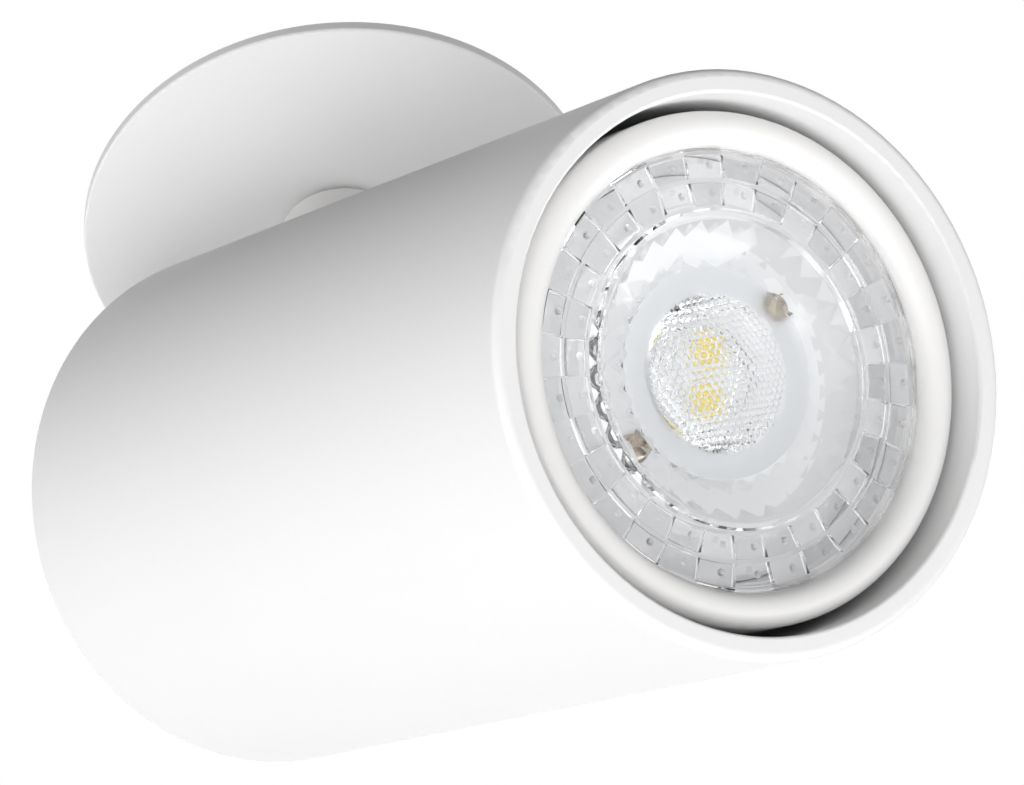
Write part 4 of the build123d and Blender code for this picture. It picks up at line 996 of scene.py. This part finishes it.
coil_left, leg_left = spring_coil(), spring_leg()
coil_right, leg_right = copy_of(coil_left, "clip_spring_coil_b"), copy_of(leg_left, "clip_spring_leg_b")
for coil, leg, side, half_turn in (
    (coil_left, leg_left, "left", 0.0),
    (coil_right, leg_right, "right", math.pi),
):
    hinge = Matrix.Rotation(half_turn, 4, "Z") @ Matrix.Translation(CLIP_PIVOT)
    put_in_place(coil, hinge)
    put_in_place(leg, hinge @ Matrix.Rotation(-CLIP_REST, 4, "X"))
    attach(coil, "recess_base")
    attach(leg, side + "_clip")
    for part in (coil, leg):
        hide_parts("clip_spring_" + side)


# Room: floor, sky and lamps


def brightest(tree, *values):
    """Largest of several values."""
    found = values[0]
    for value in values[1:]:
        node = add_node(tree, "ShaderNodeMath", operation="MAXIMUM")
        tree.links.new(found, node.inputs[0])
        tree.links.new(value, node.inputs[1])
        found = node.outputs[0]
    return found


def room_floor():
    """Pale floor that takes shadows, lifted towards white where the camera, gloss or glass sees it."""
    start_piece()
    bpy.ops.mesh.primitive_plane_add(size=FLOOR_SIZE, location=(0, 0, FLOOR_HEIGHT))
    floor = bpy.context.object
    floor.name = "room_floor"
    material, tree, surface = new_material("pale_floor")
    surface.inputs["Base Color"].default_value = FLOOR_TONE
    surface.inputs["Roughness"].default_value = FLOOR_ROUGHNESS
    surface.inputs["Emission Color"].default_value = WHITE
    path = add_node(tree, "ShaderNodeLightPath").outputs
    reflected = add_node(tree, "ShaderNodeMath", operation="MULTIPLY")
    reflected.inputs[1].default_value = FLOOR_REFLECTED
    tree.links.new(brightest(tree, path["Is Glossy Ray"], path["Is Transmission Ray"]), reflected.inputs[0])
    glow = add_node(tree, "ShaderNodeMath", operation="MULTIPLY_ADD")
    glow.inputs[1].default_value = FLOOR_SEEN
    tree.links.new(path["Is Camera Ray"], glow.inputs[0])
    tree.links.new(reflected.outputs[0], glow.inputs[2])
    tree.links.new(glow.outputs[0], surface.inputs["Emission Strength"])
    floor.data.materials.append(material)


def sky():
    """Even soft light, and plain white where the camera, gloss or glass sees it."""
    world = bpy.data.worlds.new("studio_sky")
    bpy.context.scene.world = world
    world.use_nodes = True
    tree = world.node_tree
    light = tree.nodes["Background"]
    path = add_node(tree, "ShaderNodeLightPath").outputs
    seen = brightest(tree, path["Is Camera Ray"], path["Is Glossy Ray"], path["Is Transmission Ray"])
    strength = add_node(tree, "ShaderNodeMapRange")
    strength.inputs["To Min"].default_value = SKY_LIGHT
    strength.inputs["To Max"].default_value = 1.0
    tree.links.new(seen, strength.inputs["Value"])
    light.inputs["Color"].default_value = WHITE
    tree.links.new(strength.outputs["Result"], light.inputs["Strength"])


# Each lamp: name, direction in the picture's right, up and towards the camera, and watts.
LAMPS = [
    ("side_lamp", (-0.8, -0.4, 0.3), 6.5),
    ("right_lamp", (0.9, -0.4, 0.2), 6.6),
    ("low_lamp", (0.0, -0.5, 0.85), 8.0),
    ("front_lamp", (-0.05, 0.05, 1.0), 3.6),
    ("back_lamp", (-0.1, -0.15, -1.0), 4.5),
]


def soft_lamp(name, direction, power):
    """Large soft lamp, aimed at the middle of the object."""
    light = bpy.data.lights.new(name, "AREA")
    light.shape = "DISK"
    light.size = LAMP_SIZE
    light.energy = power
    lamp = bpy.data.objects.new(name, light)
    bpy.context.scene.collection.objects.link(lamp)
    right, up, back = (Vector(axis) for axis in (CAMERA_RIGHT, CAMERA_UP, CAMERA_BACK))
    toward = (right * direction[0] + up * direction[1] + back * direction[2]).normalized()
    middle = (Vector(cad_low) + Vector(cad_high)) / 2
    lamp.location = middle + toward * LAMP_DISTANCE
    lamp.rotation_mode = "QUATERNION"
    lamp.rotation_quaternion = (-toward).to_track_quat("-Z", "Y")


def camera():
    """Camera of the photograph's view."""
    data = bpy.data.cameras.new("photo_camera")
    data.lens = CAMERA_LENS
    data.sensor_width = SENSOR_WIDTH
    data.sensor_fit = "HORIZONTAL"
    data.clip_start = VIEW_NEAR
    data.clip_end = VIEW_FAR
    eye = bpy.data.objects.new("photo_camera", data)
    bpy.context.scene.collection.objects.link(eye)
    eye.matrix_world = place_matrix((CAMERA_RIGHT, CAMERA_UP, CAMERA_BACK), CAMERA_PLACE)
    bpy.context.scene.camera = eye


room_floor()
sky()
for lamp_name, lamp_direction, lamp_power in LAMPS:
    soft_lamp(lamp_name, lamp_direction, lamp_power)
camera()
bpy.context.scene.view_settings.view_transform = "Standard"
